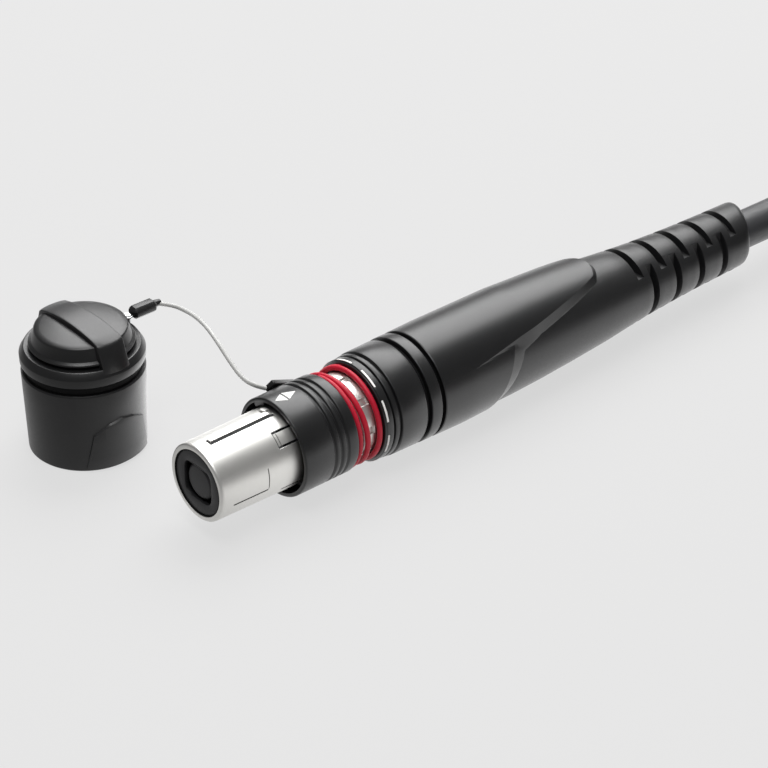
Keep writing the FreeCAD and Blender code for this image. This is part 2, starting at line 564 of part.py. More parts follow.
# boot with two staggered families of flex slots
boot_turn = turned("BootTurn", [
    (T.boot_x, core_fit_r), (T.boot_x, T.boot_front_r), (T.boot_level_x, T.boot_front_r),
    (T.boot_b_x, T.boot_b_r),
    (T.boot_c_x, T.boot_c_r), (T.boot_d_x, T.boot_d_r), (T.boot_e_x, T.boot_e_r),
    (T.boot_f_x, T.boot_f_r),
    (T.boot_g_x, T.boot_g_r), (T.boot_h_x, T.boot_h_r), (T.boot_i_x, T.boot_i_r),
    (T.boot_j_x, T.boot_j_r),
    (T.boot_end_x, T.boot_end_r), (T.boot_end_x, T.cable_r + T.fit_gap),
    (T.boot_cavity_x, T.cable_r + T.fit_gap),
    (T.boot_cavity_x, T.boot_cavity_r), (T.core_end_x + T.fit_gap, T.boot_cavity_r),
    (T.core_end_x + T.fit_gap, core_fit_r)])
boot_slots = []
for i in range(9):
    slot_x = T.boot_slot_x + T.boot_slot_pitch * (0.5 * i) - T.boot_slot_width * 0.5
    for half in (0.0, 180.0):
        boot_slots.append(sector(f"BootSlot{i}_{int(half)}", T.boot_slot_floor_r, T.boot_f_r + 2.0,
                                 slot_x,
                                 T.boot_slot_width, T.boot_slot_turn, half + 90.0 * (i % 2)))
node(cut("Boot", boot_turn, joined("BootSlots", *boot_slots)), "boot")
node(turned("CableClamp", [
    (T.core_end_x + T.fit_gap, T.cable_r + T.fit_gap),
    (T.core_end_x + T.fit_gap, T.boot_cavity_r - T.fit_gap),
    (T.clamp_end_x, T.boot_cavity_r - T.fit_gap), (T.clamp_end_x, T.cable_r + T.fit_gap)]), "cable_clamp")

# cap: everything is turned about its own upright axis and set on the floor under the grip
floor_z = T.grip_r * -1.0
cap_top = T.cap_height
flange_low = cap_top + T.cap_groove
flange_top = flange_low + T.flange_height
neck_top = flange_top + T.tier_neck
tier_top = neck_top + T.tier_height
wall_top = tier_top + T.knob_wall
CAP_PLACE = (T.cap_x, T.cap_y, floor_z)


def on_cap(body):
    place(body, *CAP_PLACE)
    doc.recompute()
    return body


node(on_cap(turned("CapCup", [
    (T.cap_bore_r, 0), (T.cap_foot_r - 0.5, 0), (T.cap_foot_r, 0.5), (T.cap_top_r, cap_top), (0, cap_top),
    (0, T.cap_bore_deep), (T.cap_bore_r, T.cap_bore_deep)], "V_Axis")), "cap_cup")
node(on_cap(turned("CapDisc", [
    (0, T.cap_bore_deep - T.disc_thick), (T.disc_r, T.cap_bore_deep - T.disc_thick),
    (T.disc_r, T.cap_bore_deep),
    (0, T.cap_bore_deep)], "V_Axis")), "cap_sealing_disc")
node(on_cap(turned("CapSeal", [
    (0, cap_top), (T.cap_groove_r, cap_top), (T.cap_groove_r, flange_low), (0, flange_low)], "V_Axis")),
    "cap_seal")
flange_turn = on_cap(turned("FlangeTurn", [
    (0, flange_low), (T.flange_r, flange_low), (T.flange_r, flange_low + T.flange_split - 0.1),
    (T.flange_r - 0.2, flange_low + T.flange_split), (T.flange_r, flange_low + T.flange_split + 0.1),
    (T.flange_r, flange_top - 0.7), (T.flange_top_r, flange_top), (0, flange_top)], "V_Axis"))
pin_x = T.cap_x + T.flange_r - T.pin_inset
pin_hole = rod("PinHole", T.pin_r + T.fit_gap, T.flange_height, x=pin_x, y=T.cap_y,
               z=flange_top + floor_z - T.pin_height * 0.4, axis=Z_AXIS)
node(cut("CapFlange", flange_turn, pin_hole), "cap_flange")
knob_turn = on_cap(turned("KnobTurn", [
    (0, flange_top), (T.tier_neck_r, flange_top), (T.tier_neck_r, neck_top), (T.tier_r, neck_top),
    (T.tier_r, tier_top - 0.4), (T.tier_r - 0.5, tier_top), (T.knob_wall_r, tier_top),
    (T.dome_r, wall_top),
    (T.dome_shoulder_r, wall_top + T.dome_mid), (T.dome_top_r, wall_top + T.dome_top),
    (0, wall_top + T.dome_top + 0.2)], "V_Axis"))
bar_low = wall_top + T.bar_end_rise
bar_high = wall_top + T.bar_rise
bar = extruded("KnobBar", [
    (T.bar_half_length * -1.0, flange_top), (T.bar_half_length * -1.0 + T.bar_draft, bar_low),
    (T.bar_half_length * -0.6, bar_high - T.bar_rise * 0.3),
    (T.bar_half_length * -0.3, bar_high - T.bar_rise * 0.05),
    (T.bar_half_length * 0.3, bar_high - T.bar_rise * 0.05),
    (T.bar_half_length * 0.6, bar_high - T.bar_rise * 0.3),
    (T.bar_half_length - T.bar_draft, bar_low), (T.bar_half_length, flange_top)], T.bar_width, "YZ_Plane")
place(bar, *CAP_PLACE)
node(joined("CapKnob", knob_turn, bar), "cap_knob")

# lanyard
top_z = flange_top + floor_z
node(rod("CapPin", T.pin_r, T.pin_height, x=pin_x, y=T.cap_y, z=top_z - T.pin_height * 0.4, axis=Z_AXIS),
     "cap_pin")
cap_terminal_block = box("CapTerminalBlock", T.terminal_length + 3.6, T.terminal_width, T.terminal_height,
                         pin_x - 1.4, T.cap_y - T.terminal_width * 0.5, top_z + T.fit_gap)
cap_terminal_hole = rod("CapTerminalHole", T.pin_r + T.fit_gap, T.terminal_height * 3.0, x=pin_x,
                        y=T.cap_y,
                        z=top_z - T.terminal_height, axis=Z_AXIS)
knob_room = rod("KnobRoom", T.tier_r + T.fit_gap, 20.0, x=T.cap_x, y=T.cap_y, z=top_z - 5.0, axis=Z_AXIS)
node(cut("CapTerminal", cap_terminal_block, cap_terminal_hole, knob_room), "lanyard_terminal_cap")


def beam(name, start, end, width, thick):
    """Flat bar from start to end, its thickness pointing away from the plug axis."""
    along = end - start
    mid = (start + end) * 0.5
    out = V(0, mid.y, mid.z)
    ahead = V(along).normalize()
    side = out.cross(along).normalize()
    up = ahead.cross(side)
    obj = doc.addObject("Part::Box", name)
    bind(obj, "Length", along.Length)
    bind(obj, "Width", width)
    bind(obj, "Height", thick)
    corner = start - side * (width.value / 2) - up * (thick.value / 2)
    matrix = FreeCAD.Matrix(ahead.x, side.x, up.x, corner.x, ahead.y, side.y, up.y, corner.y,
                            ahead.z, side.z, up.z, corner.z, 0, 0, 0, 1)
    obj.Placement = FreeCAD.Placement(matrix)
    doc.recompute()
    return obj


def round_route(points):
    """Wire of straight runs joined by tangent arcs, with its arc radii."""
    edges = []
    radii = []
    last = points[0]
    for i in range(1, len(points) - 1):
        a, b, c = points[i - 1], points[i], points[i + 1]
        into = (b - a)
        away = (c - b)
        half = into.getAngle(away) / 2
        trim = 0.45 * min(into.Length, away.Length)
        radii.append(trim / math.tan(half))
        first = b - V(into).normalize() * trim
        final = b + V(away).normalize() * trim
        bisect = (V(away).normalize() - V(into).normalize()).normalize()
        crown = b + bisect * (radii[-1] / math.cos(half) - radii[-1])
        edges.append(Part.LineSegment(last, first).toShape())
        edges.append(Part.Arc(first, crown, final).toShape())
        last = final
    edges.append(Part.LineSegment(last, points[-1]).toShape())
    return Part.Wire(edges), radii


def tube(name, points, radius):
    """Round cord along a route, as one solid."""
    route, radii = round_route(points)
    start = points[0]
    ring = Part.Wire([Part.Circle(start, points[1] - start, radius.value).toShape()])
    solid = route.makePipeShell([ring], True, False)
    obj = doc.addObject("Part::Feature", name)
    obj.Shape = solid
    area = math.pi * radius.value ** 2
    print(name, "radii", [round(r, 1) for r in radii], "length", round(route.Length, 1),
          "volume ratio", round(solid.Volume / (area * route.Length), 4))
    return obj


def around(x, radius, turn):
    """Point at a station and radius, turned from the top of the plug towards the cap."""
    angle = math.radians(turn.value)
    return V(x.value, radius.value * math.sin(angle), radius.value * math.cos(angle))


# plug-end terminal: a flat moulded bar and its strap to the collar, clear of the sliding sleeve
strap_room_r = T.collar_r + 0.05 + T.fit_gap
strap_x = T.sleeve_end_x - T.strap_lead
strap_length = T.collar_groove_x + T.strap_seat - strap_x
terminal_start = around(T.sleeve_x + T.lug_inset, T.sleeve_r + T.lug_rise, T.lug_turn)
terminal_end = around(T.sleeve_end_x + T.lug_reach, strap_room_r + T.strap_out, T.lug_end_turn)
terminal_bar = beam("TerminalBar", terminal_start, terminal_end, T.lug_width, T.lug_thick)
strap_block = box("StrapBlock", strap_length, T.strap_out + T.strap_sink, T.strap_height, strap_x,
                  strap_room_r - T.strap_sink, T.strap_low)
strap_room = rod("StrapRoom", strap_room_r, strap_length * 2.0, x=strap_x - strap_length * 0.5)
node(joined("PlugTerminal", terminal_bar, cut("Strap", strap_block, strap_room)), "lanyard_terminal_plug")

ROPE_ROUTE = [V(25.85, 48.1, 15.6), V(29.2, 46.6, 14.6), V(29.4, 40.8, 15.2), V(27.9, 35.0, 16.7),
              V(26.4, 29.2, 17.3), V(25.1, 23.6, 16.4), V(24.3, 18.2, 14.1), V(24.1, 13.6, 11.9),
              V(25.3, 10.6, 10.6), V(28.19, 9.94, 9.06)]
node(tube("LanyardRope", ROPE_ROUTE, T.rope_r), "lanyard_rope")

# cable out of the boot, its coil beyond the end of the plug, and the far plug with its cap on
coil_x = T.boot_end_x + T.cable_free
coil_low = floor_z + T.tie_thick
coil_reach = T.coil_mid_r + T.coil_half_width
coil_chord = math.sqrt(coil_reach.value ** 2 - (T.coil_mid_r.value - T.cable_r.value) ** 2)
node(rod("Cable", T.cable_r, coil_x - coil_chord - T.coil_gap - T.cable_x, x=T.cable_x), "cable")
half = T.coil_half_width
round_in = T.cable_r * 0.6
coil = turned("CableCoil", [
    (T.coil_mid_r - half, round_in), (T.coil_mid_r - half + round_in, 0),
    (T.coil_mid_r + half - round_in, 0),
    (T.coil_mid_r + half, round_in), (T.coil_mid_r + half, T.coil_height - round_in),
    (T.coil_mid_r + half - round_in, T.coil_height), (T.coil_mid_r - half + round_in, T.coil_height),
    (T.coil_mid_r - half, T.coil_height - round_in)], "V_Axis")
place(coil, coil_x, T.coil_mid_r * -1.0, coil_low)
doc.recompute()
node(coil, "cable_coil")
tie_room = box("TieRoom", T.tie_width + 2.0, half * 2.0 + T.tie_gap * 2.0, T.coil_height + T.tie_gap,
               coil_x - T.tie_width * 0.5 - 1.0,
               T.coil_mid_r * -2.0 - half - T.tie_gap * 0.5, coil_low)
tie_block = box("TieBlock", T.tie_width, half * 2.0 + T.tie_gap * 2.0 + T.tie_thick * 2.0,
                T.coil_height + T.tie_gap + T.tie_thick * 2.0, coil_x - T.tie_width * 0.5,
                T.coil_mid_r * -2.0 - half - T.tie_gap * 0.5 - T.tie_thick, floor_z)
node(cut("CoilTie", tie_block, tie_room), "coil_tie")
far_x = coil_x + T.coil_mid_r
far_z = T.far_cap_r - T.grip_r
far_lead_start = T.coil_mid_r * -1.0 - coil_chord - T.coil_gap
far_y = far_lead_start - T.far_turn_r
far_turn_x = far_x - T.far_turn_r
far_plug_x = far_turn_x - T.far_lead - T.boot_end_x
far_turn = doc.addObject("Part::Torus", "FarTurn")
bind(far_turn, "Radius1", T.far_turn_r)
bind(far_turn, "Radius2", T.cable_r)
far_turn.Angle3 = 90
far_turn.Placement.Rotation = FreeCAD.Rotation(Z_AXIS, -90)
place(far_turn, far_turn_x, far_lead_start, far_z)
far_lead = rod("FarLead", T.cable_r, T.far_lead - T.fit_gap, x=far_turn_x, y=far_y, z=far_z,
               axis=V(-1, 0, 0))
node(joined("FarCable", far_turn, far_lead), "far_cable")


def on_far_end(body):
    """Lay a plug-frame body beside the near plug, at the far end of the cable."""
    place(body, far_plug_x, far_y, far_z)
    doc.recompute()
    return body


node(on_far_end(turned("FarPlug", [
    (T.sleeve_x, 0), (T.sleeve_x, T.sleeve_r), (T.seat_step_x, T.sleeve_r), (T.seat_step_x, T.collar_r),
    (T.collar_end_x, T.collar_r), (T.grip_swell_x, T.grip_r), (T.grip_taper_x, T.grip_r),
    (T.boot_b_x, T.boot_b_r),
    (T.boot_d_x, T.boot_d_r), (T.boot_f_x, T.boot_f_r), (T.boot_h_x, T.boot_h_r),
    (T.boot_i_x, T.boot_i_r),
    (T.boot_end_x, T.boot_end_r), (T.boot_end_x, 0)])), "far_plug")
far_cap = turned("FarCap", [
    (0, 0), (T.cap_foot_r, 0), (T.cap_top_r, cap_top), (T.far_cap_r, flange_low),
    (T.far_cap_r, flange_top),
    (T.tier_r, neck_top), (T.dome_r, wall_top), (T.dome_top_r, wall_top + T.dome_top),
    (0, wall_top + T.dome_top)],
    "V_Axis")
far_cap.Placement.Rotation = FreeCAD.Rotation(Z_AXIS, V(-1, 0, 0))
place(far_cap, far_plug_x + T.sleeve_x - 0.1, far_y, far_z)
doc.recompute()
node(far_cap, "far_cap")

# write every node
doc.recompute()
for obj in doc.Objects:
    if "Invalid" in obj.State or "Error" in obj.State:
        raise RuntimeError(f"{obj.Name} did not build: {obj.State}")
os.makedirs("parts", exist_ok=True)
for obj in nodes:
    shape = obj.Shape
    if shape.isNull() or not shape.isValid():
        raise RuntimeError(f"{obj.Label} has no valid shape")
    shape.exportStep(os.path.join("parts", obj.Label + ".step"))
print(len(nodes), "nodes written")
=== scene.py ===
"""Dresses a sealed round fibre plug with its tethered dust cap, its cable and the plug on the far end."""

import json
import logging
import math
from collections.abc import Iterable
from dataclasses import dataclass
from enum import Enum

import bmesh
import bpy
from bmesh.types import BMEdge, BMesh, BMFace, BMVert
from bpy.types import Material, NodeSocket, NodeTree, Object
from mathutils import Matrix, Vector

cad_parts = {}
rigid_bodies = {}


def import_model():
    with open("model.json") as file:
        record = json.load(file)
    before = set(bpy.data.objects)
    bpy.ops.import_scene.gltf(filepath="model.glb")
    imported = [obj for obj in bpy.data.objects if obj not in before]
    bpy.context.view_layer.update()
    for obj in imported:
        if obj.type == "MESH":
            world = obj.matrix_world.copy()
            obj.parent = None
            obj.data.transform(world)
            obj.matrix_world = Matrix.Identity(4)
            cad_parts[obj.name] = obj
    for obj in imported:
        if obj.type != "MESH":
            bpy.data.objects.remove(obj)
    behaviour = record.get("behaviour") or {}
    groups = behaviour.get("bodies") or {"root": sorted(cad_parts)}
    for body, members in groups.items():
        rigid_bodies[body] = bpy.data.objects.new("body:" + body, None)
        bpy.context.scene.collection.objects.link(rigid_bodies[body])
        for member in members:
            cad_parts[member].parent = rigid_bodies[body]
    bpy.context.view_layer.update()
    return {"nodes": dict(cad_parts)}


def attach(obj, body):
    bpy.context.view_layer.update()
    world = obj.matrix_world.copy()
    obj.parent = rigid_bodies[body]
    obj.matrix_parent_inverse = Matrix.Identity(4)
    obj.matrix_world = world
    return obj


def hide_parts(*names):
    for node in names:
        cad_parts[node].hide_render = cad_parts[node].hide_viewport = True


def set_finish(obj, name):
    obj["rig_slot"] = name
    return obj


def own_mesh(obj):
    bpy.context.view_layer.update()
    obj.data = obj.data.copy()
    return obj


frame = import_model()
LOG = logging.getLogger("fibre_plug")
MM = 0.001
FLOOR_Z = -13.75
CAP_CENTRE = (3.62, 48.3)
ROUND_STEPS = 144

Point = tuple[float, float, float]
Station = tuple[float, float]
Line = tuple[Station, ...]
# Part of a shell: front and rear along the axis, bearing of its middle and half of its width in degrees.
Area = tuple[float, float, float, float]


def linear(code: str) -> tuple[float, float, float, float]:
    """Turns an sRGB hex colour into linear light.

    Args:
        code: Six hex digits after a hash.

    Returns:
        Linear red, green and blue, and an alpha of one.
    """
    levels = [int(code[i:i + 2], 16) / 255 for i in (1, 3, 5)]
    return (*(v / 12.92 if v <= 0.04045 else ((v + 0.055) / 1.055) ** 2.4 for v in levels), 1.0)


def add_node(tree: NodeTree, kind: str, inputs: dict | None = None, out: int | str = 0,
             **settings: object) -> NodeSocket:
    """Adds one shader node to a tree.

    Args:
        tree: Node tree that takes the node.
        kind: Blender's node type name, without its first part.
        inputs: What each input socket takes: another node's output or a constant.
        out: Which output to give back.
        **settings: Properties of the node itself.

    Returns:
        The output socket.
    """
    node = tree.nodes.new(f"ShaderNode{kind}")
    for key, value in settings.items():
        setattr(node, key, value)
    for key, value in (inputs or {}).items():
        if isinstance(value, NodeSocket):
            tree.links.new(value, node.inputs[key])
        else:
            node.inputs[key].default_value = value
    return node.outputs[out]


class Grain(Enum):
    """How a surface was made, with how far its fine pattern is drawn out along each axis."""

    MOULDED = "moulded", (1.0, 1.0, 1.0)
    TURNED = "turned", (1.0, 0.12, 0.12)
    DRAWN = "drawn", (0.1, 1.0, 1.0)
    EXTRUDED = "extruded", (0.12, 1.0, 1.0)
    WOVEN = "woven", (1.0, 1.0, 1.0)


@dataclass(frozen=True)
class Finish:
    """One material: its colours, its gloss, the marks of how it was made and its slot in the record."""

    name: str
    colour: str
    shade: str
    roughness: float
    spread: float = 0.06
    metallic: float = 0.0
    grain: Grain = Grain.MOULDED
    grain_mm: float = 0.3
    relief_mm: float = 0.004
    cloud_mm: float = 6.0
    ior: float = 1.5
    slot: str | None = None

    def material(self) -> Material:
        """Gives the material, made on first use."""
        return bpy.data.materials.get(self.name) or self.build()

    def build(self) -> Material:
        """Lays out the nodes of the material.

        Returns:
            The finished material.
        """
        material = bpy.data.materials.new(self.name)
        material.use_nodes = True
        tree = material.node_tree
        place = add_node(tree, "TexCoord", out="Object")
        cloud = add_node(tree, "TexNoise", {"Vector": place, "Scale": 1 / (self.cloud_mm * MM), "Detail": 3.0}, "Fac")
        tone = add_node(tree, "Mix", {0: cloud, 6: linear(self.colour), 7: linear(self.shade)}, 2, data_type="RGBA")
        if self.grain is Grain.WOVEN:
            weave = {"Vector": place, "Scale": 0.5 / (self.grain_mm * MM), "Distortion": 1.5, "Detail": 1.0}
            fine = add_node(tree, "TexWave", weave, "Fac", bands_direction="DIAGONAL")
        else:
            drawn = add_node(tree, "Mapping", {"Vector": place, "Scale": self.grain.value[1]})
            speck = {"Vector": drawn, "Scale": 1 / (self.grain_mm * MM), "Detail": 2.0}
            fine = add_node(tree, "TexNoise", speck, "Fac")
        gloss = add_node(tree, "MapRange", {
            "Value": fine, "From Min": 0.3, "From Max": 0.7, "To Min": self.roughness - self.spread,
            "To Max": self.roughness + self.spread})
        bump = add_node(tree, "Bump", {"Height": fine, "Strength": 1.0, "Distance": self.relief_mm * MM})
        sockets = tree.nodes["Principled BSDF"].inputs
        sockets["Metallic"].default_value = self.metallic
        if not self.metallic:
            sockets["IOR"].default_value = self.ior
        for key, source in (("Base Color", tone), ("Roughness", gloss), ("Normal", bump)):
            tree.links.new(source, sockets[key])
        return material


# Glass-filled nylon, spark-eroded mould: satin black whose broad soft highlights break up over a fine grain.
# The real grain is near 0.05 mm and is drawn five times coarser so that it shows.
BLACK_NYLON = Finish("moulded_black_nylon", "#0f0f10", "#141415", 0.36, 0.07, grain_mm=0.25, relief_mm=0.005,
                     slot="black_plastic")
# Thermoplastic elastomer: a little duller and softer than the nylon, the sheen of a bend relief.
ELASTOMER = Finish("moulded_elastomer", "#101011", "#161617", 0.42, 0.06, grain_mm=0.35, relief_mm=0.006,
                   slot="boot_rubber")
# Silicone seal: near black and matt, so that a seal reads as a shadow line.
SILICONE = Finish("silicone_seal", "#060607", "#0a0a0b", 0.7, 0.08, relief_mm=0.006, ior=1.25, slot="black_rubber")
# Painted shade: a dull dark grey lining behind the cuts in the bright nose, so that the cuts read as dark lines.
SHADE_LINING = Finish("grey_flock", "#424243", "#4a4a4b", 0.9, 0.05, grain_mm=0.1, relief_mm=0.01, ior=1.15,
               slot="black_rubber")
# Satin nickel on zinc: bright warm grey with faint rings from turning.
NICKEL = Finish("satin_nickel_plate", "#e3e2df", "#d9d8d4", 0.43, 0.04, 1.0, Grain.TURNED, 0.15, 0.0008, 9.0,
                slot="nickel")
# PBT insert: dark grey and dull, its edges lighter by their gloss alone.
PBT = Finish("moulded_pbt_insert", "#1a1a1b", "#202022", 0.45, 0.07, grain_mm=0.2, ior=1.38, slot="dark_insert")
# Lacquered spring wire: deep even red with a dull film, so that the turns stay saturated.
RED_WIRE = Finish("lacquered_spring_wire", "#c01230", "#a80d28", 0.5, 0.08, grain_mm=0.4, cloud_mm=3.0, ior=1.4,
                  slot="red_wire")
# Spring steel painted dull and nearly black: painted shade, so that the latch behind the nose cuts stays in shadow.
SHADE_BLACK_STEEL = Finish("black_oxide_steel", "#050506", "#08080a", 0.8, 0.05, grain_mm=0.15, relief_mm=0.002, ior=1.2)
# Stainless steel, drawn and tumbled: cool grey with streaks along the part.
STEEL = Finish("tumbled_stainless_steel", "#b7b8b8", "#a5a6a7", 0.28, 0.08, 1.0, Grain.DRAWN, 0.15, 0.002,
               slot="steel")
# PPS ferrule: hard dark green-grey block with a ground face.
PPS = Finish("ground_pps_ferrule", "#2a332f", "#333d38", 0.4, 0.08, grain_mm=0.12, relief_mm=0.003)
# Acrylate coated ribbon: glossy aqua strip.
ACRYLATE = Finish("acrylate_ribbon", "#3fa7a4", "#358f8e", 0.25, grain=Grain.EXTRUDED)
# Nylon coated wire rope: pale grey strands that catch light on their crowns.
ROPE = Finish("coated_wire_rope", "#bdbdbb", "#b0b0ae", 0.42, 0.08, relief_mm=0.002, cloud_mm=4.0, slot="rope")
# Polyurethane jacket, extruded: even dark grey with faint lines along the pull.
JACKET = Finish("polyurethane_jacket", "#2c2c2e", "#343436", 0.48, 0.07, 0.0, Grain.EXTRUDED, 0.5, 0.006, 8.0,
                slot="jacket")
# Hook tape: black weave, dull and slightly hairy.
HOOK_TAPE = Finish("woven_hook_tape", "#19191b", "#242427", 0.75, 0.1, 0.0, Grain.WOVEN, 0.8, 0.12, 3.0)
# Flat white with a dull face: pad-printed ink on the sleeve's arrows, and a painted highlight on the nickel seat
# inserts.
WHITE_PRINT_AND_GLINT = Finish("pad_printed_white", "#ecebe8", "#e2e1de", 0.55, 0.08, grain_mm=0.2, relief_mm=0.003)

CAD_FINISHES: tuple[tuple[Finish, tuple[str, ...]], ...] = (
    (BLACK_NYLON, ("locking_sleeve", "spring_seat", "collar", "barrel_ring", "grip_shell", "cap_cup", "cap_flange",
                   "cap_knob", "lanyard_terminal_cap", "lanyard_terminal_plug", "cable_clamp", "ferrule_holder",
                   "spring_push", "far_plug", "far_cap")),
    (SILICONE, ("insert_seal", "groove_seal_front", "groove_seal_rear", "cap_seal", "cap_sealing_disc")),
    (ELASTOMER, ("boot",)),
    (NICKEL, ("nose_shell", "core_tube")),
    # The latch ring is painted nearly black: painted shade behind the nose cuts.
    (SHADE_BLACK_STEEL, ("latch_ring",)),
    (PBT, ("nose_insert", "shutter")),
    (RED_WIRE, ("return_spring",)),
    (STEEL, ("guide_pins", "ferrule_spring", "cap_pin")),
    (PPS, ("fibre_ferrule",)),
    (ACRYLATE, ("fibre_ribbon",)),
    (HOOK_TAPE, ("coil_tie",)),
    # The nickel seat inserts are painted flat white: a painted highlight for their bright dashes.
    (WHITE_PRINT_AND_GLINT, ("seat_inserts",)),
)


def smoothstep(value: float) -> float:
    """Eases a value from 0 to 1 between those two."""
    t = min(max(value, 0.0), 1.0)
    return t * t * (3 - 2 * t)


def between(table: Line, x: float) -> float:
    """Reads a table of stations at a place.

    Args:
        table: Places and values, in order.
        x: Where to read.

    Returns:
        The value, on straight runs between the stations.
    """
    if x <= table[0][0]:
        return table[0][1]
    for (x0, v0), (x1, v1) in zip(table, table[1:]):
        if x <= x1:
            return v0 + (v1 - v0) * (x - x0) / (x1 - x0)
    return table[-1][1]


def bearing(point: Vector) -> float:
    """Gives the angle of a point round the plug, in degrees from the top towards the viewer's side."""
    return math.degrees(math.atan2(-point.y, point.z))


def apart(a: float, b: float) -> float:
    """Gives the angle between two bearings, in degrees."""
    return abs((a - b + 180) % 360 - 180)


def rotation(degrees: float, axis: str) -> Matrix:
    """Gives a turn about one axis."""
    return Matrix.Rotation(math.radians(degrees), 3, axis)


def link(name: str, data: bpy.types.ID) -> Object:
    """Puts data into the scene.

    Args:
        name: Object name.
        data: Mesh, curve, light or camera.

    Returns:
        The object.
    """
    made = bpy.data.objects.new(name, data)
    bpy.context.scene.collection.objects.link(made)
    return made


def solid(bm: BMesh, name: str, material: Material) -> Object:
    """Puts a finished mesh into the scene.

    Args:
        bm: Mesh in metres.
        name: Object name.
        material: Its material.

    Returns:
        The object.
    """
    mesh = bpy.data.meshes.new(name)
    bm.to_mesh(mesh)
    bm.free()
    mesh.materials.append(material)
    return link(name, mesh)


def laid(name: str, points: Iterable[Point], radius: float, finish: Finish, *nodes: str) -> Object:
    """Lays a round cord on one smooth open spline.

    Args:
        name: Piece name.
        points: Control points in millimetres.
        radius: Cord radius in millimetres.
        finish: Material of the cord.
        *nodes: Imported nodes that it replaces.

    Returns:
        The cord.
    """
    curve = bpy.data.curves.new(name, "CURVE")
    curve.dimensions = "3D"
    curve.bevel_depth = radius * MM
    curve.bevel_resolution = 6
    curve.resolution_u = 8
    curve.use_fill_caps = True
    curve.materials.append(finish.material())
    route = list(points)
    spline = curve.splines.new("NURBS")
    spline.points.add(len(route) - 1)
    for knot, point in zip(spline.points, route):
        knot.co = (*(c * MM for c in point), 1.0)
    spline.order_u = 3
    spline.use_endpoint_u = True
    piece = link(name, curve)
    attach(piece, "plug")
    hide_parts(*nodes)
    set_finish(piece, finish.slot)
    return piece


@dataclass
class Cable:
    """The round fibre cable, wound away beyond the end of the plug."""

    radius: float = 5.0
    exit_x: float = 177.7
    length: float = 2.0
    centre: Station = (262.0, -52.0)
    inner_r: float = 47.0
    outer_r: float = 57.0
    layers: Point = (-8.75, 1.25, 11.25)
    step_deg: float = 18.0
    # Each change from turn to turn: travelled angle where it starts and ends.
    changes: Line = ((285, 320), (575, 645), (900, 935), (1225, 1260), (1530, 1580))
    turns_deg: float = 1890.0
    lead: tuple[Point, ...] = (
        (160.0, 0.0, 0.0), (176.0, 0.0, 0.0), (200.0, 0.0, -0.4), (224.0, 1.6, -0.4), (244.0, 4.6, 0.6),
        (262.0, 5.6, 1.25))
    tail: tuple[Point, ...] = (
        (319.6, -56.0, 11.25), (319.2, -76.0, 11.0), (316.0, -96.0, 8.6), (308.0, -115.0, 4.6), (295.0, -128.5, 2.0),
        (279.0, -134.6, 1.3), (262.0, -134.94, 1.25), (238.0, -134.94, 1.25), (214.0, -134.94, 1.25))

    def strands(self) -> Line:
        """Gives the radius and height of each turn in winding order."""
        low, mid, high = self.layers
        return ((self.outer_r, mid), (self.outer_r, low), (self.inner_r, low), (self.inner_r, mid),
                (self.inner_r, high), (self.outer_r, high))

    def coil(self) -> list[Point]:
        """Winds the stored length.

        Returns:
            Control points of the coil, clockwise from its north side to its east side.
        """
        slots = self.strands()
        # The spline runs inside its control points by about half of the step's versine.
        swell = 2 / (1 + math.cos(math.radians(self.step_deg / 2)))
        points = []
        travelled = self.step_deg
        while travelled < self.turns_deg - self.step_deg / 2:
            radius, height = slots[0]
            for index, (start, end) in enumerate(self.changes):
                share = smoothstep((travelled - start) / (end - start))
                radius += share * (slots[index + 1][0] - slots[index][0])
                height += share * (slots[index + 1][1] - slots[index][1])
            angle = math.radians(90 - travelled)
            points.append((self.centre[0] + radius * swell * math.cos(angle),
                           self.centre[1] + radius * swell * math.sin(angle), height))
            travelled += self.step_deg
        return points

    def build(self, with_pieces: list[Object]) -> None:
        """Lays the cable from inside the near boot to inside the far one.

        Args:
            with_pieces: The tie, the far plug and its cap; not used.
        """
        piece = laid("cable_run", [*self.lead, *self.coil(), *self.tail], self.radius, JACKET,
                     "cable", "cable_coil", "far_cable")


@dataclass
class Lanyard:
    """The short wire rope between the cap and the plug's collar."""

    radius: float = 0.55
    length: float = 0.045
    route: tuple[Point, ...] = (
        (25.85, 48.1, 15.6), (29.2, 46.6, 14.6), (29.4, 40.8, 15.2), (27.9, 35.0, 16.7), (26.4, 29.2, 17.3),
        (25.1, 23.6, 16.4), (24.3, 18.2, 14.1), (24.1, 13.6, 11.9), (25.3, 10.6, 10.6), (28.19, 9.94, 9.06))

    def build(self) -> None:
        """Lays the rope."""
        piece = laid("lanyard_rope_strands", self.route, self.radius, ROPE, "lanyard_rope")


def points_of(geom: Iterable[object]) -> list[BMVert]:
    """Picks the points out of what an operator made."""
    return [g for g in geom if isinstance(g, BMVert)]


def turned(stations: Iterable[Station], steps: int = ROUND_STEPS, closed: bool = False,
           upright: Station | None = None) -> BMesh:
    """Spins a profile into a round shell.

    Args:
        stations: Profile points, each a place along the axis and a radius, in millimetres.
        steps: Segments round the shell.
        closed: Whether the profile closes on itself, as the section of a ring does.
        upright: Centre of a vertical axis, or nothing for the plug's own axis.

    Returns:
        The shell.
    """
    bm = bmesh.new()
    verts = [bm.verts.new((x, 0.0, r) if upright is None else (r, 0.0, x)) for x, r in stations]
    edges = [bm.edges.new(pair) for pair in zip(verts, verts[1:])]
    if closed:
        edges.append(bm.edges.new((verts[-1], verts[0])))
    bmesh.ops.spin(bm, geom=verts + edges, cent=(0, 0, 0), axis=(0, 0, 1) if upright else (1, 0, 0),
                   angle=math.tau, steps=steps, use_merge=True)
    bmesh.ops.remove_doubles(bm, verts=bm.verts, dist=1e-4)
    bmesh.ops.recalc_face_normals(bm, faces=bm.faces)
    if upright:
        bmesh.ops.translate(bm, vec=(*upright, FLOOR_Z), verts=bm.verts)
    return bm


